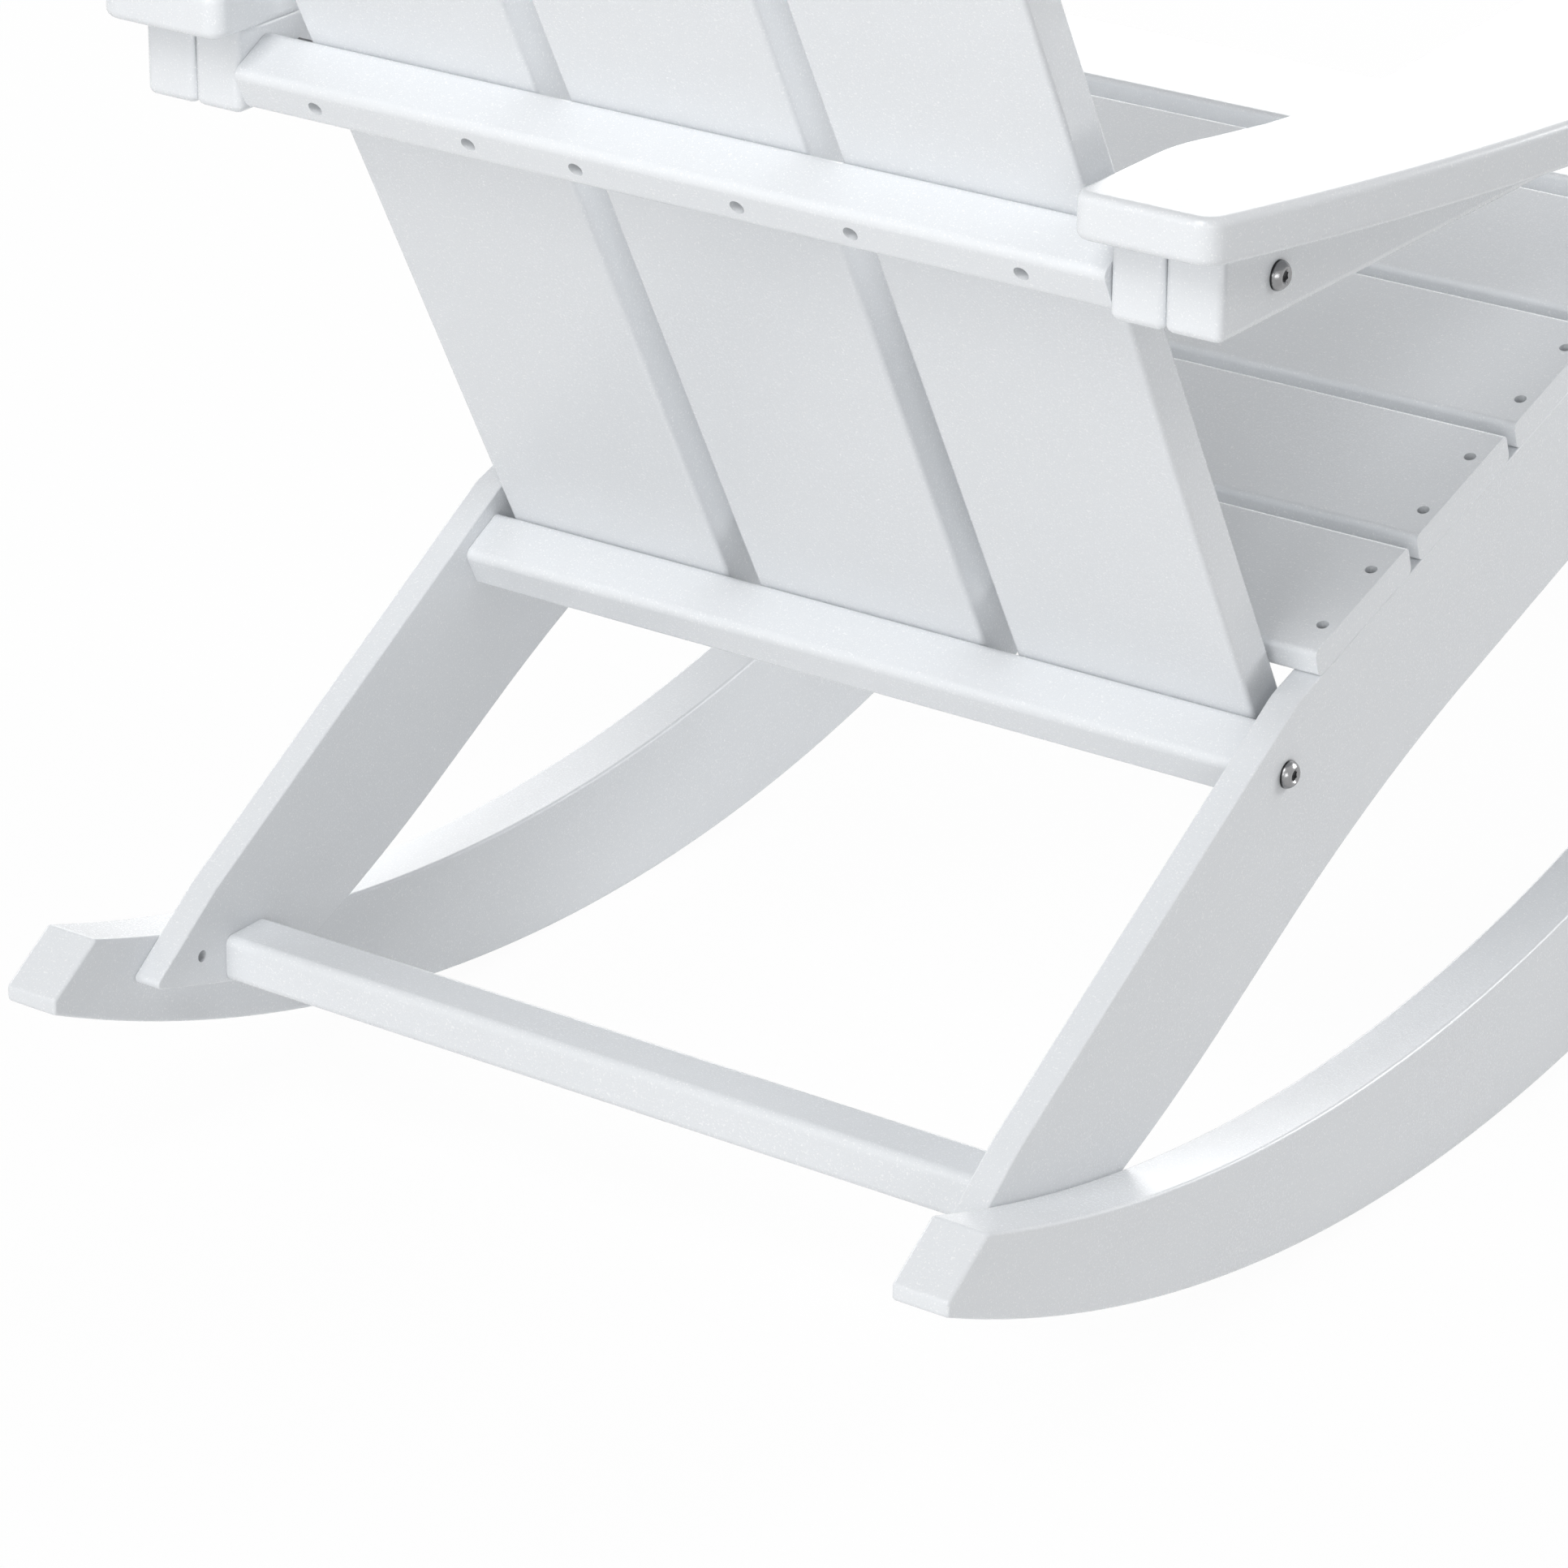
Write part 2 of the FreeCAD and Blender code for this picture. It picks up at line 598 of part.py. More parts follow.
def make_stringer(label, side):
    bend = f"({SEAT_END_Y} + stringer_bend_lead)"

    def lower(y):
        return f"({stringer_top(y)} - stringer_depth)"

    def behind_bend(y):
        return f"({lower('lower_bend_middle')} - lower_edge_fall * ({y} - lower_bend_middle))"

    heel_top = ("(heel_reach - heel_run)", f"({HEEL_Z} + heel_rise)")
    corners = [
        (STRINGER_FRONT, lower(STRINGER_FRONT)),
        ("-lower_bend_start", lower("-lower_bend_start"), "lower_bend_radius", "hollow"),
        ("lower_bend_end", behind_bend("lower_bend_end")),
        ("calf_start", behind_bend("calf_start"), "calf_radius"),
        (TOE_Y, TOE_Z),
        ("heel_reach", HEEL_Z),
        heel_top,
        (bend, stringer_top(bend)),
        (LEVEL_Y, LEVEL_Z),
        (STRINGER_FRONT, LEVEL_Z),
    ]
    rounds = [
        ("stringer_bend_round", [corners[7][:2], heel_top]),
        ("tip_round", [(TOE_Y, TOE_Z), ("heel_reach", HEEL_Z)]),
    ]
    inner = f"({HALF_FRAME} - thin_board)"
    body = side_plank(label, side, corners, "thin_board", inner, rounds, "stringer_round")
    places = [(f"{side} * thin_board / 2", t) for t in SEAT_SCREW_T]
    bore(
        body,
        label + "_seat_pilots",
        "XY_Plane",
        places,
        "screw_shank",
        SCREW_PILOT,
        tilt=("-seat_slope", "0", "seat_datum_height"),
    )
    level = [(f"{side} * thin_board / 2", y) for y in FRONT_SCREW_Y]
    name = label + "_front_pilots"
    top = f"({LEVEL_Z} + thin_board)"
    bore(body, name, "XY_Plane", level, "screw_shank", SCREW_PILOT, top)
    through_x(body, label + "_screw_holes", FOOT_SCREWS, SHANK_HOLE)
    recess_x(body, label + "_screw_recesses", side, FOOT_SCREWS, "screw_head", "screw_recess")
    stretcher = [(STRETCHER_Y, STRETCHER_Z)]
    through_x(body, label + "_stretcher_hole", stretcher, SHANK_HOLE)
    recess_x(
        body, label + "_stretcher_recess", side, stretcher, "screw_head", "screw_recess", "thin_board"
    )
    through_x(body, label + "_bolt_holes", [LOWER_RAIL_BOLT] + FRAME_BOLTS, "bolt_hole")


def make_front_leg(label, side):
    corners = [
        (LEG_FRONT, rocker_front_top(LEG_FRONT)),
        (LEG_REAR, rocker_front_top(LEG_REAR)),
        (LEG_REAR, "arm_height"),
        (LEG_FRONT, "arm_height"),
    ]
    body = side_plank(label, side, corners, "leg_thickness", HALF_FRAME)
    through_x(body, label + "_bolt_holes", LEG_SUPPORT_BOLTS + FRAME_BOLTS, "bolt_hole")
    through_x(body, label + "_apron_holes", APRON_SCREWS, SHANK_HOLE)
    name = label + "_apron_recesses"
    recess_x(body, name, side, APRON_SCREWS, "screw_head", "screw_recess", "leg_thickness")
    barrels = [(y, f"({rocker_front_top(y)} + barrel_rise)") for y in LEG_BOLT_Y]
    depth = "(leg_thickness / 2 + barrel_length / 2)"
    recess_x(body, label + "_barrel_holes", side, barrels, "barrel_diameter", depth)
    for number, y in enumerate(LEG_BOLT_Y, 1):
        top = f"({rocker_front_top(y)} + foot_bolt_reach + 2)"
        place = [(f"{side} * leg_thickness / 2", y)]
        bore(body, f"{label}_foot_hole_{number}", "XY_Plane", place, "bolt_hole", top, top)


def make_arm_supports(name, side):
    low = "(arm_height - support_height)"
    inner = side_plank(
        name + "_inner_arm_support",
        side,
        [(LEG_REAR, low), (SUPPORT_REAR, low), (SUPPORT_REAR, "arm_height"), (LEG_REAR, "arm_height")],
        "leg_thickness",
        HALF_FRAME,
        [("support_round", [(SUPPORT_REAR, low)])],
        "support_round",
    )
    outer = side_plank(
        name + "_outer_arm_support",
        side,
        [(LEG_FRONT, low), (SUPPORT_REAR, low), (SUPPORT_REAR, "arm_height"), (LEG_FRONT, "arm_height")],
        "outer_support_thickness",
        SUPPORT_JOINT,
        [("support_round", [(SUPPORT_REAR, low), (LEG_FRONT, low)])],
        "support_round",
    )
    through_x(inner, inner.Label + "_bolt_hole", [SUPPORT_BOLT], "bolt_hole")
    through_x(outer, outer.Label + "_bolt_holes", [SUPPORT_BOLT] + LEG_SUPPORT_BOLTS, "bolt_hole")
    through_x(inner, inner.Label + "_rail_holes", UPPER_RAIL_SCREWS, SHANK_HOLE)
    recess_x(
        inner,
        inner.Label + "_rail_recesses",
        side,
        UPPER_RAIL_SCREWS,
        "screw_head",
        "screw_recess",
        "leg_thickness",
    )
    for board, thickness, ys in (
        (inner, "leg_thickness", INNER_ARM_SCREW_Y),
        (outer, "outer_support_thickness", OUTER_ARM_SCREW_Y),
    ):
        places = [(f"{side} * {thickness} / 2", y) for y in ys]
        bore(board, board.Label + "_arm_holes", "XY_Plane", places, SHANK_HOLE)
        recess_top = f"({low} + deep_recess)"
        bore(
            board,
            board.Label + "_arm_recesses",
            "XY_Plane",
            places,
            "screw_head",
            "(deep_recess + 5)",
            recess_top,
        )


def make_arm(label, side):
    """The arm's outline is sawn in plan, bowed outwards to the front."""
    rear = f"({SUPPORT_REAR} + arm_rear_overhang)"
    front = f"({LEG_FRONT} - arm_front_overhang)"
    outermost = f"({HALF_FRAME} + arm_reach)"
    inner = f"({HALF_FRAME} - arm_inset)"
    step = f"({rear} - arm_step_start)"
    waist = f"({step} - arm_step_length)"
    rear_outer = (
        f"({outermost} - arm_sweep_radius"
        f" + sqrt(arm_sweep_radius ^ 2 - ({rear} + arm_sweep_start) ^ 2))"
    )
    path = [
        (inner, rear),
        (inner, step),
        (f"({inner} + arm_step_depth)", waist),
        (f"({HALF_FRAME} - arm_front_spread)", front),
        (outermost, front),
        (outermost, "-arm_sweep_start", "arm_sweep_radius"),
        (rear_outer, rear),
    ]
    if side < 0:
        flipped = [(f"-1 * {c[0]}", c[1]) for c in path]
        flipped[6] = (f"-1 * {rear_outer}", rear, "arm_sweep_radius")
        corners = flipped[::-1]
    else:
        corners = path
    body = new_body(label)
    bind(body, "Placement.Base.z", "arm_height")
    sketch = new_sketch(body, label + "_outline", "XY_Plane")
    outline(sketch, corners)
    pad(body, sketch, "arm_board")
    spots = [(size(f"{side} * {x}"), size(y)) for x, y in (c[:2] for c in path)]
    for number, (radius, picked) in enumerate(
        (
            ("arm_inner_corner", (0,)),
            ("arm_rear_corner", (6,)),
            ("arm_step_round", (1,)),
            ("arm_waist_round", (2,)),
            ("arm_front_corner", (3, 4)),
        ),
        1,
    ):
        wanted = crosses_at("Z", [spots[i] for i in picked])
        round_edges(body, f"{label}_corners_{number}", radius, wanted)
    round_edges(body, label + "_edges", "arm_round", lies_on("Z", 0, size("arm_board")))
    for board_x, ys in (
        (f"({HALF_FRAME} + leg_thickness / 2)", INNER_ARM_SCREW_Y),
        (f"({SUPPORT_JOINT} + outer_support_thickness / 2)", OUTER_ARM_SCREW_Y),
    ):
        places = [(f"{side} * {board_x}", y) for y in ys]
        name = label + ("_inner_pilots" if ys is INNER_ARM_SCREW_Y else "_outer_pilots")
        depth = "(screw_length - support_height + deep_recess + 1)"
        bore(body, name, "XY_Plane", places, "screw_shank", depth, reverse=True)


def make_cross_bar(label, length, frame, section):
    """A rounded bar across the chair."""
    body = new_body(label)
    frame(body)
    sketch = new_sketch(body, label + "_section", "YZ_Plane")
    rounded_rectangle(sketch, *section, "bar_round")
    pad(body, sketch, length, both_ways=True)
    return body


def end_pilots(body, name, places, length, diameter, depth):
    """Pilot holes in both ends of a cross bar."""
    half = f"({length} / 2)"
    bore(body, name + "_left", "YZ_Plane", places, diameter, depth, half)
    bore(body, name + "_right", "YZ_Plane", places, diameter, depth, f"-1 * {half}", True)


def make_rails():
    section = ("0", "bar_depth")
    rise = {"upper_back_rail": UPPER_RAIL_RISE, "lower_back_rail": LOWER_RAIL_RISE}
    for label, middle in rise.items():
        length = "frame_width"
        if label == "lower_back_rail":
            length = "(frame_width - 2 * thin_board)"
        heights = (f"({middle} - bar_height / 2)", f"({middle} + bar_height / 2)")
        body = make_cross_bar(label, length, in_back_frame, section + heights)
        places = [(x, middle) for x in BACK_SCREW_X]
        if label == "upper_back_rail":
            bore(body, label + "_holes", "XZ_Plane", places, SHANK_HOLE)
            bore(
                body,
                label + "_recesses",
                "XZ_Plane",
                places,
                "rail_recess",
                "screw_recess",
                "-bar_depth",
                True,
            )
            ends = [(RAIL_SCREW_D, rise) for rise in RAIL_SCREW_RISE]
            end_pilots(body, label + "_pilots", ends, length, "screw_shank", "pilot_depth")
        else:
            depth = "(screw_recess + screw_length - back_board + pilot_room)"
            bore(body, label + "_pilots", "XZ_Plane", places, "screw_shank", depth)
            ends = [(RAIL_MIDDLE, f"({middle} - lower_bolt_drop)")]
            name = label + "_insert_holes"
            end_pilots(body, name, ends, length, "insert_diameter", "(insert_length + insert_room)")


def make_stretcher():
    section = (
        f"({STRETCHER_Y} - bar_depth / 2)",
        f"({STRETCHER_Y} + bar_depth / 2)",
        f"({STRETCHER_Z} - bar_height / 2)",
        f"({STRETCHER_Z} + bar_height / 2)",
    )
    length = "(frame_width - 2 * thin_board)"
    body = make_cross_bar("rear_stretcher", length, lambda made: None, section)
    ends = [(STRETCHER_Y, STRETCHER_Z)]
    end_pilots(body, "rear_stretcher_pilots", ends, length, "screw_shank", "pilot_depth")


def make_back_slat(label, column):
    """One back slat: its top is part of the arch over all three."""
    body = new_body(label)
    in_back_frame(body)
    middle = f"({column} * {BACK_PITCH})"
    left = f"({middle} - back_slat_width / 2)"
    right = f"({middle} + back_slat_width / 2)"
    foot = f"({LOWER_RAIL_RISE} - bar_height / 2 - slat_foot)"

    def crown(x):
        return f"(back_slat_height - crown_radius + sqrt(crown_radius ^ 2 - ({x}) ^ 2))"

    sketch = new_sketch(body, label + "_outline", "XZ_Plane")
    corners = [
        (left, foot),
        (right, foot),
        (right, crown(right), "crown_radius"),
        (left, crown(left)),
    ]
    outline(sketch, corners)
    pad(body, sketch, "back_board")
    tops = [(size(x), size(crown(x))) for x in (left, right)]
    round_edges(body, label + "_crown_corners", "crown_corner", crosses_at("Y", tops))
    faces = lies_on("Y", 0, -size("back_board"))
    round_edges(body, label + "_edges", "back_slat_round", faces)
    xs = [BACK_SCREW_X[2 * (column + 1)], BACK_SCREW_X[2 * (column + 1) + 1]]
    upper = [(x, UPPER_RAIL_RISE) for x in xs]
    lower = [(x, LOWER_RAIL_RISE) for x in xs]
    depth = "(screw_recess + screw_length - bar_depth + 1)"
    bore(body, label + "_upper_pilots", "XZ_Plane", upper, "screw_shank", depth, reverse=True)
    bore(body, label + "_lower_holes", "XZ_Plane", lower, SHANK_HOLE)
    bore(
        body, label + "_recesses", "XZ_Plane", lower, "screw_head", "screw_recess", "back_board"
    )


def make_slat(body, rear, width, screws):
    """A slat across the seat, with bullnosed long edges and square ends."""
    label = body.Label
    sketch = new_sketch(body, label + "_section", "YZ_Plane")
    rounded_rectangle(sketch, f"({rear} - {width})", rear, "-thin_board", "0", "seat_slat_round")
    pad(body, sketch, "frame_width", both_ways=True)
    places = [(f"{s} * {SLAT_SCREW_X}", t) for s in (-1, 1) for t in screws]
    bore(body, label + "_holes", "XY_Plane", places, SHANK_HOLE)
    bore(body, label + "_recesses", "XY_Plane", places, "screw_head", "screw_recess")


def make_seat_slat(number):
    """One of the slats that slope down to the back, counted from the rear."""
    body = new_body(f"seat_slat_{number + 1}")
    in_seat_frame(body)
    make_slat(body, seat_slat_rear(number), "seat_slat_width", seat_slat_screws(number))


def make_front_slat():
    """The slat in front lies level."""
    body = new_body("front_seat_slat")
    bind(body, "Placement.Base.y", LEVEL_Y)
    bind(body, "Placement.Base.z", f"{LEVEL_Z} + thin_board")
    make_slat(body, "0", "front_slat_width", FRONT_SCREW_T)


def make_apron():
    """The board under the front of the seat, between the legs."""
    body = new_body("front_apron")
    low = f"({LEVEL_Z} - apron_height)"
    sketch = new_sketch(body, "front_apron_section", "YZ_Plane")
    corners = [
        (f"({APRON_FRONT} + plank_round)", low),
        (STRINGER_FRONT, low),
        (STRINGER_FRONT, LEVEL_Z),
        (APRON_FRONT, LEVEL_Z),
        (APRON_FRONT, f"({low} + plank_round)", "plank_round"),
    ]
    outline(sketch, corners)
    pad(body, sketch, "frame_width", both_ways=True)
    end_pilots(body, "front_apron_pilots", APRON_SCREWS, "frame_width", "screw_shank", "pilot_depth")


# Fasteners: one pattern piece of each kind, then copies in their places. A
# pattern piece stands on Z = 0 under its head, with its shank down the -Z axis.


def revolved(name, points):
    """A turned piece from its half section of (radius, height) corners."""
    body = new_body(name)
    sketch = new_sketch(body, name + "_section", "XZ_Plane")
    outline(sketch, points)
    feature = body.newObject("PartDesign::Revolution", name + "_turned")
    feature.Profile = sketch
    feature.ReferenceAxis = (sketch, ["V_Axis"])
    feature.Angle = 360
    doc.recompute()
    return body


def hexagon(sketch, flats):
    """A hexagon about the sketch's origin."""
    across = f"({flats} / sqrt(3))"
    corners = [(f"{across} * cos({60 * k})", f"{across} * sin({60 * k})") for k in range(6)]
    outline(sketch, corners)


def make_screw(name, length):
    """A trim-head screw with a hex recess."""
    head, shank = "(screw_head - screw_head_play)", "screw_shank"
    body = revolved(
        name,
        [
            ("0", f"-1 * {length}"),
            (f"{shank} / 2", f"-1 * {length} + screw_point"),
            (f"{shank} / 2", "0"),
            (f"{head} / 2", "0"),
            (f"{head} / 2", "screw_head_height - screw_head_edge"),
            (f"{head} / 2 - screw_head_edge", "screw_head_height"),
            ("0", "screw_head_height"),
        ],
    )
    sketch = new_sketch(body, name + "_socket", "XY_Plane", "screw_head_height")
    hexagon(sketch, "screw_socket_flats")
    cut = body.newObject("PartDesign::Pocket", name + "_socket_cut")
    cut.Profile = sketch
    bind(cut, "Length", "screw_socket_depth")
    doc.recompute()
    return body


def make_bolt(name, length):
    """A button-head bolt with a hex socket."""
    flat = "(bolt_head / 2 - bolt_crown)"
    body = revolved(
        name,
        [
            ("0", f"-1 * {length}"),
            ("bolt_shank / 2 - bolt_bevel", f"-1 * {length}"),
            ("bolt_shank / 2", f"-1 * {length} + bolt_bevel"),
            ("bolt_shank / 2", "0"),
            ("bolt_head / 2", "0"),
            ("bolt_head / 2", "bolt_rim", "bolt_dome"),
            (flat, "bolt_head_height"),
            ("0", "bolt_head_height"),
        ],
    )
    sketch = new_sketch(body, name + "_socket", "XY_Plane", "bolt_head_height")
    hexagon(sketch, "socket_flats")
    cut = body.newObject("PartDesign::Pocket", name + "_socket_cut")
    cut.Profile = sketch
    bind(cut, "Length", "socket_depth")
    doc.recompute()
    return body


def make_nut(name):
    """A hexagon nut whose bore is the bolt's size, from Z = 0 down."""
    body = new_body(name)
    sketch = new_sketch(body, name + "_section", "XY_Plane")
    hexagon(sketch, "nut_flats")
    pad(body, sketch, "nut_height", reverse=True)
    bore(body, name + "_bore", "XY_Plane", [("0", "0")], "bolt_shank")
    return body


def make_tube(name, outer, length):
    """A round nut or insert about the Z axis, from Z = 0 down."""
    body = new_body(name)
    sketch = new_sketch(body, name + "_section", "XY_Plane")
    circles(sketch, [("0", "0")], outer)
    pad(body, sketch, length, reverse=True)
    bore(body, name + "_bore", "XY_Plane", [("0", "0")], "bolt_shank")
    return body


def make_barrel(name):
    """A barrel nut along the X axis, about its middle, threaded along Z."""
    body = new_body(name)
    sketch = new_sketch(body, name + "_section", "YZ_Plane")
    circles(sketch, [("0", "0")], "barrel_diameter")
    pad(body, sketch, "barrel_length", both_ways=True)
    bore(body, name + "_bore", "XY_Plane", [("0", "0")], "bolt_shank")
    return body


groups = []


def place_group(label, pattern, placements):
    """One node that holds copies of a fastener."""
    copies = []
    for placement in placements:
        copy = pattern.Shape.copy()
        copy.Placement = placement
        copies.append(copy)
    feature = doc.addObject("Part::Feature", label)
    feature.Label = label
    feature.Shape = Part.makeCompound(copies)
    groups.append(feature)


def facing(direction):
    """Turns a fastener so that its head faces that way."""
    return Rotation(Vector(0, 0, 1), Vector(*direction))


def at(x, y, z, direction):
    return Placement(Vector(size(x), size(y), size(z)), facing(direction))


def on_both_sides(x, places, outwards=1):
    """Placements at x and -x, with the heads outwards or inwards."""
    return [
        at(f"{side} * {x}", y, z, (side * outwards, 0, 0))
        for name, side in SIDES
        for y, z in places
    ]


def place_screws():
    screw = make_screw("screw_pattern", "screw_length")
    down = f"-1 * screw_recess"
    place_group(
        "seat_screws",
        screw,
        [
            SEAT_FRAME * at(f"{s} * {SLAT_SCREW_X}", t, down, (0, 0, 1))
            for s in (-1, 1)
            for t in SEAT_SCREW_T
        ]
        + [
            at(f"{s} * {SLAT_SCREW_X}", y, f"({LEVEL_Z} + thin_board - screw_recess)", (0, 0, 1))
            for s in (-1, 1)
            for y in FRONT_SCREW_Y
        ],
    )
    place_group(
        "upper_back_screws",
        screw,
        [
            BACK_FRAME * at(x, "bar_depth - screw_recess", UPPER_RAIL_RISE, (0, 1, 0))
            for x in BACK_SCREW_X
        ],
    )
    place_group(
        "lower_back_screws",
        screw,
        [
            BACK_FRAME * at(x, "screw_recess - back_board", LOWER_RAIL_RISE, (0, -1, 0))
            for x in BACK_SCREW_X
        ],
    )
    inner = f"({HALF_FRAME} - thin_board + screw_recess)"
    place_group("rocker_screws", screw, on_both_sides(inner, FOOT_SCREWS, -1))
    stretcher = [(STRETCHER_Y, STRETCHER_Z)]
    outer = f"({HALF_FRAME} - screw_recess)"
    place_group("stretcher_screws", screw, on_both_sides(outer, stretcher))
    joint = f"({SUPPORT_JOINT} - screw_recess)"
    long_screw = make_screw("long_screw_pattern", "(leg_thickness + long_screw_bite)")
    place_group("upper_rail_screws", long_screw, on_both_sides(joint, UPPER_RAIL_SCREWS))
    place_group("apron_screws", long_screw, on_both_sides(joint, APRON_SCREWS))
    low = "(arm_height - support_height + deep_recess)"
    outer_x = f"({SUPPORT_JOINT} + outer_support_thickness / 2)"
    inner_x = f"({HALF_FRAME} + leg_thickness / 2)"
    columns = [(inner_x, y) for y in INNER_ARM_SCREW_Y] + [(outer_x, y) for y in OUTER_ARM_SCREW_Y]
    place_group(
        "arm_screws",
        screw,
        [at(f"{side} * {x}", y, low, (0, 0, -1)) for name, side in SIDES for x, y in columns],
    )


def place_bolts():
    nut = make_nut("nut_pattern")
    rail_bolt = make_bolt("rail_bolt_pattern", "(thin_board + insert_length)")
    place_group("lower_rail_bolts", rail_bolt, on_both_sides(HALF_FRAME, [LOWER_RAIL_BOLT]))
    insert = make_tube("insert_pattern", "insert_diameter", "insert_length")
    inner = f"({HALF_FRAME} - thin_board)"
    place_group("lower_rail_inserts", insert, on_both_sides(inner, [LOWER_RAIL_BOLT]))

    through = "(leg_thickness + outer_support_thickness + nut_height + bolt_end)"
    support_bolt = make_bolt("support_bolt_pattern", through)
    places = [SUPPORT_BOLT] + LEG_SUPPORT_BOLTS
    place_group("arm_support_bolts", support_bolt, on_both_sides(SUPPORT_OUTER, places))
    place_group("arm_support_nuts", nut, on_both_sides(HALF_FRAME, places))

    grip = "(leg_thickness + thin_board + nut_height + bolt_end)"
    frame_bolt = make_bolt("frame_bolt_pattern", grip)
    place_group("seat_frame_bolts", frame_bolt, on_both_sides(SUPPORT_JOINT, FRAME_BOLTS))
    place_group("seat_frame_nuts", nut, on_both_sides(inner, FRAME_BOLTS))

    foot_bolt = make_bolt("foot_bolt_pattern", "(foot_bolt_grip + foot_bolt_reach)")
    barrel = make_barrel("barrel_pattern")
    heads = []
    barrels = []
    for name, side in SIDES:
        for y in LEG_BOLT_Y:
            x = f"{side} * {FOOT_BOLT_X}"
            heads.append(at(x, y, f"({rocker_front_top(y)} - foot_bolt_grip)", (0, 0, -1)))
            rise = f"({rocker_front_top(y)} + barrel_rise)"
            barrels.append(Placement(Vector(size(x), size(y), size(rise)), Rotation()))
    place_group("rocker_bolts", foot_bolt, heads)
    place_group("rocker_barrel_nuts", barrel, barrels)


for name, side in SIDES:
    make_rocker(name + "_rocker", side)
    make_stringer(name + "_seat_stringer", side)
    make_front_leg(name + "_front_leg", side)
    make_arm_supports(name, side)
    make_arm(name + "_arm", side)
make_rails()
make_stretcher()
for name, column in (("left", 1), ("center", 0), ("right", -1)):
    make_back_slat(name + "_back_slat", column)
for number in range(SLOPING_SLATS):
    make_seat_slat(number)
make_front_slat()
make_apron()
place_screws()
place_bolts()
doc.recompute()


def check_document():
    """Stops if anything in the document failed."""
    for thing in doc.Objects:
        for state in thing.State:
            if state in ("Invalid", "Error"):
                raise RuntimeError(f"{thing.Label} is {state}")


def write_parts():
    bodies = [o for o in doc.Objects if o.TypeId == "PartDesign::Body"]
    pieces = [b for b in bodies if not b.Label.endswith("_pattern")] + groups
    os.makedirs("parts", exist_ok=True)
    for piece in pieces:
        shape = piece.Shape
        if shape.isNull() or not shape.isValid():
            raise RuntimeError(f"{piece.Label} has no valid shape")
        shape.exportStep(f"parts/{piece.Label}.step")
        solids = len(shape.Solids)
        print(f"{piece.Label}: {solids} solid(s), {shape.Volume / 1000:.1f} cm3")


check_document()
write_parts()
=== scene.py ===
import math

import bpy
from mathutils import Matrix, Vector


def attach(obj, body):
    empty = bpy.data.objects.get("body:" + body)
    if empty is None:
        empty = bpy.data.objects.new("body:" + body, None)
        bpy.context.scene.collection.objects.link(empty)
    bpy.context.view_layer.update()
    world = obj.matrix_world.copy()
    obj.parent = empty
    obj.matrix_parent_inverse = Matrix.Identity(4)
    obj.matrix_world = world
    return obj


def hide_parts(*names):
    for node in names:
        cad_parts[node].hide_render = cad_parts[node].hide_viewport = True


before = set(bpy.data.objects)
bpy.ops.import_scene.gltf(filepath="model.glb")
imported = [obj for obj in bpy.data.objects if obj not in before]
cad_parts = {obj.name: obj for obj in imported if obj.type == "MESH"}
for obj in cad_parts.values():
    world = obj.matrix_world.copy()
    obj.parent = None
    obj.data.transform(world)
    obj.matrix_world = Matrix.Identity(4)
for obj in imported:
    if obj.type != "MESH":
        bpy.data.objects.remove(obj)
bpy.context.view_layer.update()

# Sizes in millimetres, as the chair's drawing gives them; MM turns them into metres.
MM = 0.001
SEAT_SLOPE = math.radians(17.8)
BACK_LEAN = math.radians(27.9)
STRINGER_GRAIN = math.radians(24)

HALF_FRAME = 253
THIN_BOARD = 16
ROCKER_THICKNESS = 32
LEG_THICKNESS, LEG_WIDTH = 29, 114
LEG_LEAD = 22.5
OUTER_SUPPORT_THICKNESS = 31
BACK_BOARD = 25
APRON_BOARD, APRON_HEIGHT = 16, 89
BAR_HEIGHT, BAR_DEPTH = 25, 33
BAR_ROUND, BOARD_ROUND, THIN_ROUND, SAWN_END = 5, 2, 1, 0.4

ROCKER_RADIUS = 1062
ROCKER_TOP_RADIUS = 1055
ROCKER_TOP_SHIFT = 73.5
ROCKER_WAIST = 74
ROCKER_TIP = 462
ROCKER_BEVEL = 429.5
ROCKER_TOE_RISE, ROCKER_HEEL_RISE = 26, 8
ROCKER_CORNER = 3
STRAIGHT_START = -162.5
RUN_STEPS, TOP_STEPS = 56, 36
LEG_BOLT_SPACING, LEG_BOLT_GRIP, LEG_BOLT_RECESS = 44, 45, 9

SEAT_HEIGHT = 338
SEAT_REACH = 106
SLAT_WIDTH, SLAT_PITCH = 91.5, 99.5
SLAT_ROUND = 3.5
SLOPING_SLATS = 4
SLAT_SCREWS = (20.8, 68.2)
FRONT_SLAT_SCREWS = (18, 60)
FRONT_SLAT_GAP = 9.9
APRON_SETBACK = 1
SEAT_BACK_GAP = 3
SEAT_SCREW_X = HALF_FRAME - THIN_BOARD / 2

BACK_SLAT_WIDTH, BACK_PITCH = 139.5, 158.6
BACK_SCREW_OFFSET = 47.1
BACK_SCREWS = [c * BACK_PITCH + e * BACK_SCREW_OFFSET for c in (-1, 0, 1) for e in (-1, 1)]
BACK_ROUND, CROWN_CORNER, CROWN_MARGIN = 3, 18, 4
CROWN_HEIGHT, CROWN_RADIUS, CROWN_STEPS = 716, 700, 20
LOWER_RAIL_RISE = -27
UPPER_RAIL_DROP = 2
SLAT_FOOT = 5

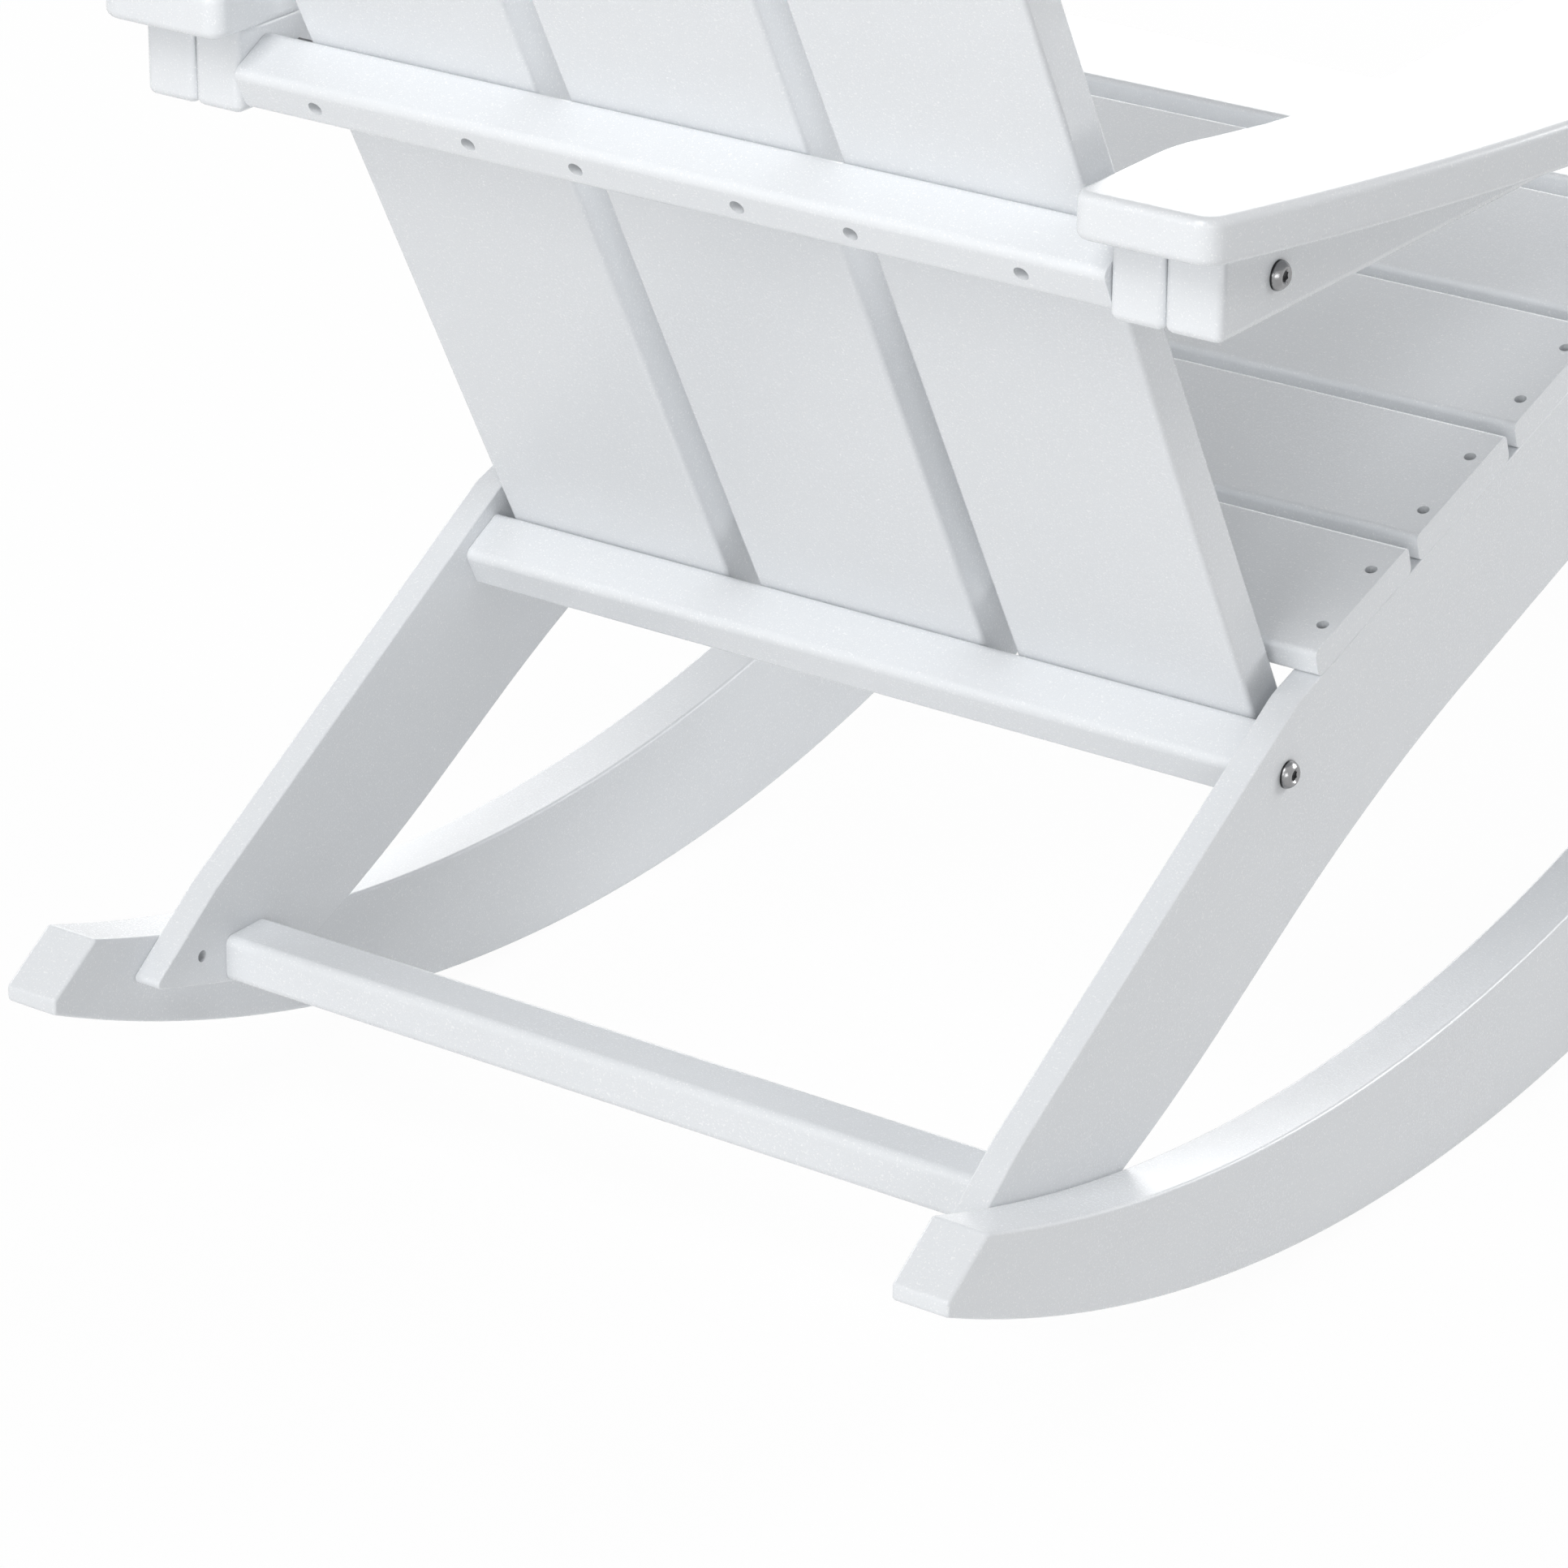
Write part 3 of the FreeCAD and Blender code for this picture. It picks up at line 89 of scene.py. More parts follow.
HEEL = 404.5
HEEL_RISE, HEEL_STEP = 22, (50, 38)
TOE, TOE_RISE = HEEL - 97, 27.5
STRINGER_WIDTH = 100
BEND_REACH = 16
HEEL_SCREW, TOE_SCREW = (38, 5), (107, 17)
STRETCHER_LEAD, STRETCHER_LIFT = 73, 45
KNEE_START, KNEE_MIDDLE, KNEE_END, CALF = -45, 34.7, 108, 171
KNEE_FALL = 0.555
KNEE_RADIUS, CALF_RADIUS, BEND_RADIUS, STRINGER_CORNER = 950, 900, 30, 3

ARM_HEIGHT, ARM_BOARD = 578.3, 23
ARM_ROUND = 4.5
ARM_REAR_OVERHANG, ARM_FRONT_OVERHANG = 24.1, 10.5
ARM_INNER, ELBOW_INNER, ARM_FRONT_INNER, ARM_OUTER = 246.5, 276.5, 244, 400
ARM_STEP_START, ARM_STEP_LENGTH = 84, 80
ARM_BOW_START, ARM_BOW_RADIUS, ARM_BOW_STEPS = -130, 1330, 28
ARM_CORNERS = {"inner": 9, "step": 80, "elbow": 300, "front": 55, "outer": 14}
SUPPORT_HEIGHT = 44
SUPPORT_REAR_INSET = 5
SUPPORT_ROUND = 4.5
SUPPORT_SCREW_RECESS = 20
INNER_SUPPORT_SCREWS = (95, 110)
OUTER_SUPPORT_SCREWS = (22, 28)

SCREW_HEAD_RADIUS, SCREW_HOLE_RADIUS, RAIL_RECESS_RADIUS = 3.2, 2.1, 4
SCREW_RECESS, SCREW_HOLE_DEPTH = 9, 60
BOLT_HEAD_HEIGHT = 4.6
BOLT_HOLE_RADIUS = 4.2
BIT_LEAD = 2
SOCKET_CONE = {"radius1": 2.3, "radius2": 3.7, "depth": 1.2}
SOCKET_CONE_SINK = 0.5
SUPPORT_BOLT_LEAD, SUPPORT_BOLT_DROP = 47.2, 1.1
LOWER_BOLT_DROP = 5
RIM_SHADE_HEIGHTS = (0.9 * MM, 1.5 * MM)
FRAME_BOLT_LEAD, FRAME_BOLT_DROPS = 20, (36, 66)

DIRECT_RAYS = ("Camera", "Glossy", "Transmission")

BOARD_WHITE = (0.80, 0.82, 0.84)
BOARD_SHADE = (0.765, 0.785, 0.81)
# Colour of the painted glints: white specks on the boards that stand in for glints of light.
GLINT_WHITE = (0.93, 0.94, 0.95)
SCREW_STEEL = (0.16, 0.165, 0.17)
BOLT_STEEL = (0.31, 0.31, 0.315)
# Painted shade: the dark band on bolt heads' rims where they meet the board.
RIM_SHADE = (0.05, 0.05, 0.052)
INSERT_BRASS = (0.62, 0.45, 0.2)

# Noise scales of the boards' surface, per metre, and where its painted glints and its pits begin.
STREAKS, STREAK_STRETCH = 16.0, 22.0
STIPPLE, PEBBLE, CLOUDS, GLINTS = 900.0, 420.0, 9.0, 950.0
GLINT_RANGE, PIT_RANGE = (0.62, 0.70), (0.66, 0.74)
BOARD_RELIEF = 0.00016
SCRATCHES, SCRATCH_STRETCH, SMEARS = 1800.0, 6, 220.0
STEEL_RELIEF = 0.00005

# The studio, in metres and watts: each lamp has a name, a place, a size and a power.
AMBIENT = 0.03
AMBIENT_COLOUR = (0.93, 0.96, 1.0, 1)
WHITE = (1, 1, 1, 1)
FLOOR_COLOUR, FLOOR_GLOW, FLOOR_RADIUS = (0.85, 0.85, 0.85, 1), 0.96, 9
LAMP_TARGET = (0, 0, 0.4)
LAMPS = [
    ("from_behind", (0.3, 4.0, 1.8), (2.5, 2.0), 48),
    ("above_behind", (0.0, 2.9, 3.4), (1.8, 1.8), 76),
    ("rear_right", (-3.0, 3.4, 1.1), (2.0, 1.6), 32),
    ("from_left", (4.0, -0.5, 1.8), (2.5, 2.0), 45),
    ("from_front", (0.5, -3.6, 2.4), (2.5, 2.0), 24),
    ("front_left", (2.4, -3.3, 1.35), (3.2, 2.4), 48),
    ("front_right", (-2.4, -3.3, 2.2), (2.0, 1.6), 100),
]
CAMERA_PLACE = (-1.7391, 2.6714, 1.5325)
CAMERA_AZIMUTH, CAMERA_ELEVATION = math.radians(216.2), math.radians(23.76)
CAMERA_LENS, CAMERA_SHIFT = 150.71, (0.0789, 0.0034)

# How finely curves are cut, and how near two vertices have to be to count as one.
ROUNDING_STEP = math.radians(9)
BIT_SIDES, CONE_SIDES, FLOOR_SIDES = 28, 40, 96
WELD = 1e-6


def running_edge(y):
    """Height of the rockers' underside."""
    return ROCKER_RADIUS - math.sqrt(ROCKER_RADIUS**2 - y**2)


def rocker_top(y):
    """Height of the rockers' upper edge, which is straight in front."""
    if y >= STRAIGHT_START:
        rise = math.sqrt(ROCKER_TOP_RADIUS**2 - (y - ROCKER_TOP_SHIFT) ** 2)
        return ROCKER_WAIST + ROCKER_TOP_RADIUS - rise
    run = ROCKER_TOP_SHIFT - STRAIGHT_START
    fall = run / math.sqrt(ROCKER_TOP_RADIUS**2 - run**2)
    return rocker_top(STRAIGHT_START) + fall * (STRAIGHT_START - y)


def stringer_top(y):
    """Height of the underside of the seat slats."""
    return SEAT_HEIGHT - THIN_BOARD / math.cos(SEAT_SLOPE) - y * math.tan(SEAT_SLOPE)


SEAT_END_Y = SEAT_REACH * math.cos(SEAT_SLOPE) - THIN_BOARD / 2 * math.sin(SEAT_SLOPE)
SEAT_END_Z = (
    SEAT_HEIGHT - SEAT_REACH * math.sin(SEAT_SLOPE) - THIN_BOARD / 2 * math.cos(SEAT_SLOPE)
)
BACK_CLEARANCE = SEAT_BACK_GAP + BACK_BOARD
BACK_Y = SEAT_END_Y + BACK_CLEARANCE * math.cos(BACK_LEAN)
BACK_Z = SEAT_END_Z - BACK_CLEARANCE * math.sin(BACK_LEAN)


def in_seat(x, t, n):
    """A point given across, back along and up from the seat's top."""
    return Vector(
        (
            x,
            t * math.cos(SEAT_SLOPE) + n * math.sin(SEAT_SLOPE),
            SEAT_HEIGHT - t * math.sin(SEAT_SLOPE) + n * math.cos(SEAT_SLOPE),
        )
    ) * MM


def in_back(x, rise, depth):
    """A point given across, up along and behind the back slats' rear faces."""
    return Vector(
        (
            x,
            BACK_Y + rise * math.sin(BACK_LEAN) + depth * math.cos(BACK_LEAN),
            BACK_Z + rise * math.cos(BACK_LEAN) - depth * math.sin(BACK_LEAN),
        )
    ) * MM


def in_chair(x, y, z):
    return Vector((x, y, z)) * MM


UP = Vector((0, 0, 1))


SUPPORT_MIDDLE = ARM_HEIGHT - SUPPORT_HEIGHT / 2
UPPER_RAIL_RISE = (
    SUPPORT_MIDDLE - UPPER_RAIL_DROP - BACK_Z + BAR_DEPTH / 2 * math.sin(BACK_LEAN)
) / math.cos(BACK_LEAN)
RAIL_END = in_back(0, UPPER_RAIL_RISE + BAR_HEIGHT / 2, BAR_DEPTH)
SUPPORT_REAR = RAIL_END.y / MM - SUPPORT_REAR_INSET
SUPPORT_JOINT = HALF_FRAME + LEG_THICKNESS
SUPPORT_OUTER = SUPPORT_JOINT + OUTER_SUPPORT_THICKNESS
SLOPE_END = SEAT_REACH - (SLOPING_SLATS - 1) * SLAT_PITCH - SLAT_WIDTH
LEVEL_Y = SLOPE_END * math.cos(SEAT_SLOPE) - THIN_BOARD * math.sin(SEAT_SLOPE) - FRONT_SLAT_GAP
LEVEL_Z = stringer_top(LEVEL_Y)
APRON_FRONT = LEVEL_Y - SLAT_WIDTH + APRON_SETBACK
STRINGER_FRONT = APRON_FRONT + APRON_BOARD
LEG_FRONT = STRINGER_FRONT - LEG_LEAD
LEG_REAR = LEG_FRONT + LEG_WIDTH
STRETCHER_Y = HEEL - STRETCHER_LEAD
STRETCHER_Z = running_edge(STRETCHER_Y) + STRETCHER_LIFT
FOOT_SCREWS = [
    (HEEL - HEEL_SCREW[0], running_edge(HEEL) + HEEL_RISE + HEEL_SCREW[1]),
    (HEEL - TOE_SCREW[0], running_edge(HEEL - TOE_SCREW[0]) + TOE_RISE + TOE_SCREW[1]),
]


class Field:
    """A value that changes over a surface, for use in ordinary arithmetic."""

    def __init__(self, nodes, socket):
        self.nodes = nodes
        self.socket = socket

    def _math(self, operation, *values):
        node = self.nodes.tree.nodes.new("ShaderNodeMath")
        node.operation = operation
        for entry, value in zip(node.inputs, values):
            self.nodes.feed(entry, value)
        return Field(self.nodes, node.outputs[0])

    def __add__(self, other):
        return self._math("ADD", self, other)

    def __sub__(self, other):
        return self._math("SUBTRACT", self, other)

    def __mul__(self, other):
        return self._math("MULTIPLY", self, other)

    def __radd__(self, other):
        return self._math("ADD", other, self)

    def __rsub__(self, other):
        return self._math("SUBTRACT", other, self)

    def __rmul__(self, other):
        return self._math("MULTIPLY", other, self)

    def absolute(self):
        return self._math("ABSOLUTE", self)

    def between(self, low, high):
        """0 below low, 1 above high, and a smooth step in between."""
        node = self.nodes.node("MapRange", {"interpolation_type": "SMOOTHSTEP"})
        self.nodes.feed(node.inputs["Value"], self)
        node.inputs["From Min"].default_value = low
        node.inputs["From Max"].default_value = high
        return Field(self.nodes, node.outputs["Result"])


class Nodes:
    """A node tree, emptied, and the ways to add to it."""

    def __init__(self, tree):
        self.tree = tree
        tree.nodes.clear()

    def feed(self, entry, value):
        if isinstance(value, Field):
            self.tree.links.new(value.socket, entry)
        elif isinstance(value, bpy.types.NodeSocket):
            self.tree.links.new(value, entry)
        else:
            entry.default_value = value

    def node(self, kind, settings=None, **inputs):
        """Adds a node: its settings first, then the values or links of its sockets."""
        made = self.tree.nodes.new("ShaderNode" + kind)
        for name, value in (settings or {}).items():
            setattr(made, name, value)
        for name, value in inputs.items():
            self.feed(made.inputs[name.replace("_", " ")], value)
        return made

    def seen_directly(self):
        """1 for the camera and for what gloss and glass show, 0 for the light itself."""
        path = self.node("LightPath")
        rays = [Field(self, path.outputs[f"Is {kind} Ray"]) for kind in DIRECT_RAYS]
        return rays[0] + rays[1] + rays[2]

    def mixed(self, share, first, second):
        """The shader between two others."""
        made = self.node("MixShader")
        for entry, value in zip(made.inputs, (share, first, second)):
            self.feed(entry, value)
        return made.outputs[0]


class Shading(Nodes):
    """The nodes of one material, with its surface shader already in place."""

    def __init__(self, name, **surface):
        self.material = bpy.data.materials.new(name)
        self.material.use_nodes = True
        super().__init__(self.material.node_tree)
        self.output = self.node("OutputMaterial")
        self.surface = self.node("BsdfPrincipled", **surface)
        self.feed(self.output.inputs["Surface"], self.surface.outputs["BSDF"])

    def place(self, turn=(0, 0, 0), stretch=(1, 1, 1)):
        """The piece's own coordinates, turned and then stretched."""
        coordinates = self.node("TexCoord").outputs["Object"]
        turned = self.node("Mapping", Vector=coordinates, Rotation=turn).outputs[0]
        return self.node("Mapping", Vector=turned, Scale=stretch).outputs[0]

    def noise(self, place, scale, detail=2.0, roughness=0.5):
        made = self.node(
            "TexNoise", Vector=place, Scale=scale, Detail=detail, Roughness=roughness
        )
        return Field(self, made.outputs["Fac"])

    def blend(self, share, first, second):
        """A colour between two others."""
        made = self.node("Mix", {"data_type": "RGBA"})
        self.feed(made.inputs["Factor"], share)
        self.feed(made.inputs[6], (*first, 1) if isinstance(first, tuple) else first)
        self.feed(made.inputs[7], (*second, 1) if isinstance(second, tuple) else second)
        return made.outputs[2]

    def relief(self, height, depth, strength=1.0):
        made = self.node("Bump", Height=height, Distance=depth, Strength=strength)
        self.feed(self.surface.inputs["Normal"], made.outputs["Normal"])

    def colour(self, value):
        self.feed(self.surface.inputs["Base Color"], value)

    def roughness(self, value):
        self.feed(self.surface.inputs["Roughness"], value)


def board_material(name, along, tilt=0.0):
    """White plastic lumber: a fine even stipple, with a faint grain along one axis, and sparse
    white specks that are painted glints.
    """
    shading = Shading(name, IOR=1.5)
    turn = (tilt, 0, 0)
    stretch = tuple(1.0 if axis == along else STREAK_STRETCH for axis in "XYZ")
    streaks = shading.noise(shading.place(turn, stretch), STREAKS, 3.0, 0.6)
    plain = shading.place()
    stipple = shading.noise(plain, STIPPLE, 2.0, 0.7)
    pebble = shading.noise(plain, PEBBLE, 2.0, 0.5)
    clouds = shading.noise(plain, CLOUDS, 2.0, 0.5)
    # Painted highlight: sparse white specks in the colour stand in for glints of light off the
    # rough surface.
    glints = shading.noise(plain, GLINTS, 1.0, 0.5).between(*GLINT_RANGE)
    pits = pebble.between(*PIT_RANGE)
    tone = 0.4 + (streaks - 0.5) * 0.35 + (clouds - 0.5) * 0.3 + (stipple - 0.5) * 2.2
    lumber = shading.blend(tone + pits * 0.6, BOARD_WHITE, BOARD_SHADE)
    shading.colour(shading.blend(glints * 0.8, lumber, GLINT_WHITE))
    shading.roughness(0.25 + (clouds - 0.5) * 0.06 + (stipple - 0.5) * 0.2)
    bumps = stipple * 0.6 + pebble * 0.5 + streaks * 0.12 - pits * 0.3
    shading.relief(bumps, BOARD_RELIEF, 0.5)
    return shading.material


def steel_material(name, colour, roughness, seat=None):
    """Satin stainless steel with fine turned scratches. seat is the distance from the chair's
    middle at which bolt heads lie on a board:
    their rims get a painted dark shade there, for the shadow and dark reflection under the head."""
    shading = Shading(name, Metallic=1.0)
    turned = shading.place(stretch=(1, SCRATCH_STRETCH, 1))
    fine = shading.noise(turned, SCRATCHES, 2.0, 0.6)
    smears = shading.noise(shading.place(), SMEARS, 2.0, 0.5)
    darker = tuple(0.72 * c for c in colour)
    steel = shading.blend((smears - 0.3) * 1.2, colour, darker)
    # Painted shade: a dark band on the rim just above the board, for the shadow and dark reflection
    # under the head.
    if seat:
        axes = shading.node("SeparateXYZ", Vector=shading.place())
        height = Field(shading, axes.outputs["X"]).absolute() - seat * MM
        steel = shading.blend(height.between(*RIM_SHADE_HEIGHTS), RIM_SHADE, steel)
    shading.colour(steel)
    shading.roughness(roughness + (fine - 0.5) * 0.2)
    shading.relief(fine, STEEL_RELIEF, 0.3)
    return shading.material


def only(*pieces):
    """Leaves just these pieces selected, the first one active."""
    bpy.ops.object.select_all(action="DESELECT")
    for piece in pieces:
        piece.select_set(True)
    bpy.context.view_layer.objects.active = pieces[0]


def settle(piece, material, slot, *nodes, smooth=40.0):
    """Finishes a modelled piece: clean normals, smooth edges, its material and its place
    in the chair."""
    only(piece)
    bpy.ops.object.mode_set(mode="EDIT")
    bpy.ops.mesh.select_all(action="SELECT")
    bpy.ops.mesh.remove_doubles(threshold=WELD)
    bpy.ops.mesh.normals_make_consistent(inside=False)
    bpy.ops.object.mode_set(mode="OBJECT")
    bpy.ops.object.shade_smooth_by_angle(angle=math.radians(smooth))
    weighted = piece.modifiers.new("weighted", "WEIGHTED_NORMAL")
    weighted.keep_sharp = True
    bpy.ops.object.modifier_apply(modifier="weighted")
    piece.data.materials.clear()
    piece.data.materials.append(material)
    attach(piece, "root")
    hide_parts(*nodes)
    return piece


def arc_between(start, end, radius, bulge=1, count=16):
    """Points between two others along an arc: it bulges to the right of the way, or to
    the left with bulge -1."""
    middle = ((start[0] + end[0]) / 2, (start[1] + end[1]) / 2)
    run = (end[0] - start[0], end[1] - start[1])
    chord = math.hypot(*run)
    lift = bulge * math.sqrt(radius**2 - chord**2 / 4) / chord
    centre = (middle[0] - run[1] * lift, middle[1] + run[0] * lift)
    first = math.atan2(start[1] - centre[1], start[0] - centre[0])
    last = math.atan2(end[1] - centre[1], end[0] - centre[0])
    sweep = (last - first + math.pi) % (2 * math.pi) - math.pi
    angles = [first + sweep * k / count for k in range(1, count)]
    return [(centre[0] + radius * math.cos(a), centre[1] + radius * math.sin(a)) for a in angles]


def rounded(corners):
    """The outline through corners (u, v) or (u, v, radius), with those radii cut in."""
    points = []
    for index, corner in enumerate(corners):
        here = Vector(corner[:2])
        if len(corner) < 3:
            points.append(here)
            continue
        before = (Vector(corners[index - 1][:2]) - here).normalized()
        after = (Vector(corners[(index + 1) % len(corners)][:2]) - here).normalized()
        half = before.angle(after) / 2
        reach = corner[2] / math.tan(half)
        start, end = here + before * reach, here + after * reach
        turn = before.x * after.y - before.y * after.x
        bulge = 1 if turn < 0 else -1
        steps = max(4, round((math.pi - 2 * half) / ROUNDING_STEP))
        inner = arc_between(start, end, corner[2], bulge, steps)
        points += [start, *[Vector(p) for p in inner], end]
    return points


def sawn(name, corners, place, depth, rounding, segments=4):
    """A board sawn to an outline and rounded along both rims. place gives the point for
    (u, v, w), where w runs through the board from 0 to depth."""
    outline = rounded(corners)
    bpy.ops.object.select_all(action="DESELECT")
    bpy.ops.mesh.primitive_circle_add(
        vertices=len(outline), radius=0.1, fill_type="NGON", location=(0, 0, 0)
    )
    board = bpy.context.object
    board.name = name
    for vertex, point in zip(board.data.vertices, outline):
        vertex.co = place(point.x, point.y, 0)
    through = place(0, 0, depth) - place(0, 0, 0)
    bpy.ops.object.mode_set(mode="EDIT")
    bpy.ops.mesh.select_all(action="SELECT")
    bpy.ops.mesh.extrude_region_move(TRANSFORM_OT_translate={"value": through})
    bpy.ops.mesh.select_all(action="SELECT")
    bpy.ops.mesh.normals_make_consistent(inside=False)
    bpy.ops.mesh.select_mode(type="EDGE")
    bpy.ops.mesh.select_all(action="DESELECT")
    bpy.ops.object.mode_set(mode="OBJECT")
    level = place(0, 0, 0).dot(through.normalized())
    for edge in board.data.edges:
        ends = [board.data.vertices[i].co.dot(through.normalized()) - level for i in edge.vertices]
        edge.select = abs(ends[0] - ends[1]) < WELD
    bpy.ops.object.mode_set(mode="EDIT")
    bpy.ops.mesh.bevel(
        offset=rounding * MM, segments=segments, profile=0.5, affect="EDGES", clamp_overlap=False
    )
    bpy.ops.object.mode_set(mode="OBJECT")
    return board


def cut_away(piece, cutters):
    """Takes the joined cutters out of a piece, and then removes them."""
    only(*cutters)
    if len(cutters) > 1:
        bpy.ops.object.join()
    cutter = bpy.context.object
    only(piece)
    cut = piece.modifiers.new("cut", "BOOLEAN")
    cut.operation = "DIFFERENCE"
    cut.solver = "EXACT"
    cut.object = cutter
    bpy.ops.object.modifier_apply(modifier="cut")
    bpy.data.objects.remove(cutter)


def drill(board, holes):
    """Bores stepped holes. A hole is (mouth, direction into the board, steps), and each
    step is (radius, depth) counted from the mouth."""
    bits = []
    for mouth, direction, steps in holes:
        direction = direction.normalized()
        turn = direction.to_track_quat("Z", "Y").to_euler()
        bpy.ops.object.select_all(action="DESELECT")
        bpy.ops.mesh.primitive_circle_add(
            vertices=BIT_SIDES,
            radius=steps[0][0] * MM,
            fill_type="NGON",
            location=mouth - direction * BIT_LEAD * MM,
            rotation=turn,
        )
        bit = bpy.context.object
        bpy.ops.object.mode_set(mode="EDIT")
        bpy.ops.mesh.select_all(action="SELECT")
        deep = -BIT_LEAD
        for number, (radius, depth) in enumerate(steps):
            if number:
                narrow = radius / steps[number - 1][0]
                bpy.ops.mesh.extrude_region()
                bpy.ops.transform.resize(value=(narrow, narrow, narrow))
            step = direction * (depth - deep) * MM
            bpy.ops.mesh.extrude_region_move(TRANSFORM_OT_translate={"value": step})
            deep = depth
        bpy.ops.mesh.select_all(action="SELECT")
        bpy.ops.mesh.normals_make_consistent(inside=False)
        bpy.ops.object.mode_set(mode="OBJECT")
        bits.append(bit)
    cut_away(board, bits)
    return board


ALONG = {
    "across": board_material("white_lumber_across", "X"),
    "level": board_material("white_lumber_level", "Y"),
    "stringer": board_material("white_lumber_stringer", "Y", STRINGER_GRAIN),
    "upright": board_material("white_lumber_upright", "Z"),
    "back": board_material("white_lumber_back", "Z", BACK_LEAN),
}


def board(piece, grain, node):
    return settle(piece, ALONG[grain], "white_lumber", node)


SCREW_STEPS = [(SCREW_HEAD_RADIUS, SCREW_RECESS), (SCREW_HOLE_RADIUS, SCREW_HOLE_DEPTH)]
RAIL_STEPS = [(RAIL_RECESS_RADIUS, SCREW_RECESS), (SCREW_HOLE_RADIUS, SCREW_HOLE_DEPTH)]


def side_board(name, side, corners, inner, thickness, rounding):
    """A board seen from the side of the chair, standing on x = inner."""

    def place(y, z, w):
        return in_chair(side * (inner + w), y, z)

    return sawn(name, corners, place, thickness, rounding)


def make_rocker(name, side):
    nose = running_edge(ROCKER_TIP)
    runs = [-ROCKER_TIP + 2 * ROCKER_TIP * k / RUN_STEPS for k in range(1, RUN_STEPS)]
    rear = STRAIGHT_START - ROCKER_BEVEL
    tops = [ROCKER_BEVEL + rear * k / TOP_STEPS for k in range(1, TOP_STEPS + 1)]
    corners = [
        (-ROCKER_TIP, nose, ROCKER_CORNER),
        *[(y, running_edge(y)) for y in runs],
        (ROCKER_TIP, nose, ROCKER_CORNER),
        (ROCKER_TIP, nose + ROCKER_HEEL_RISE, ROCKER_CORNER),
        (ROCKER_BEVEL, rocker_top(ROCKER_BEVEL), ROCKER_CORNER),
        *[(y, rocker_top(y)) for y in tops],
        (-ROCKER_BEVEL, rocker_top(-ROCKER_BEVEL), ROCKER_CORNER),
        (-ROCKER_TIP, nose + ROCKER_TOE_RISE, ROCKER_CORNER),
    ]
    piece = side_board(
        name + "_plank", side, corners, HALF_FRAME, ROCKER_THICKNESS, BOARD_ROUND
    )
    middle = HALF_FRAME + LEG_THICKNESS / 2
    holes = []
    for y in leg_bolt_rows():
        depth = rocker_top(y) - LEG_BOLT_GRIP - running_edge(y)
        mouth = in_chair(side * middle, y, running_edge(y))
        steps = [(LEG_BOLT_RECESS, depth), (BOLT_HOLE_RADIUS, depth + SCREW_HOLE_DEPTH)]
        holes.append((mouth, UP, steps))
    board(drill(piece, holes), "level", name)


def leg_bolt_rows():
    middle = (LEG_FRONT + LEG_REAR) / 2
    return (middle - LEG_BOLT_SPACING / 2, middle + LEG_BOLT_SPACING / 2)


def make_stringer(name, side):
    def lower(y):
        return stringer_top(y) - STRINGER_WIDTH

    def behind_bend(y):
        return lower(KNEE_MIDDLE) - KNEE_FALL * (y - KNEE_MIDDLE)

    heel = (HEEL, running_edge(HEEL) + HEEL_RISE)
    toe = (TOE, running_edge(TOE) + TOE_RISE)
    bend = SEAT_END_Y + BEND_REACH
    knee_start, knee_end = (KNEE_START, lower(KNEE_START)), (KNEE_END, behind_bend(KNEE_END))
    calf = (CALF, behind_bend(CALF))
    corners = [
        (STRINGER_FRONT, lower(STRINGER_FRONT)),
        knee_start,
        *arc_between(knee_start, knee_end, KNEE_RADIUS, -1),
        knee_end,
        calf,
        *arc_between(calf, toe, CALF_RADIUS),
        (*toe, STRINGER_CORNER),
        (*heel, STRINGER_CORNER),
        (HEEL - HEEL_STEP[0], heel[1] + HEEL_STEP[1]),
        (bend, stringer_top(bend), BEND_RADIUS),
        (LEVEL_Y, LEVEL_Z),
        (STRINGER_FRONT, LEVEL_Z),
    ]
    inner = HALF_FRAME - THIN_BOARD
    piece = side_board(name + "_plank", side, corners, inner, THIN_BOARD, THIN_ROUND)
    outward = Vector((side, 0, 0))
    holes = [(in_chair(side * inner, *spot), outward, SCREW_STEPS) for spot in FOOT_SCREWS]
    board(drill(piece, holes), "stringer", name)


def make_leg(name, side):
    corners = [
        (LEG_FRONT, rocker_top(LEG_FRONT)),
        (LEG_REAR, rocker_top(LEG_REAR)),
        (LEG_REAR, ARM_HEIGHT),
        (LEG_FRONT, ARM_HEIGHT),
    ]
    piece = side_board(name + "_plank", side, corners, HALF_FRAME, LEG_THICKNESS, BOARD_ROUND)
    middle = LEVEL_Z - APRON_HEIGHT / 2
    y = APRON_FRONT + APRON_BOARD / 2
    face = side * SUPPORT_JOINT
    inward = Vector((-side, 0, 0))
    heights = (middle - APRON_HEIGHT / 4, middle + APRON_HEIGHT / 4)
    holes = [(in_chair(face, y, z), inward, SCREW_STEPS) for z in heights]
    board(drill(piece, holes), "upright", name)


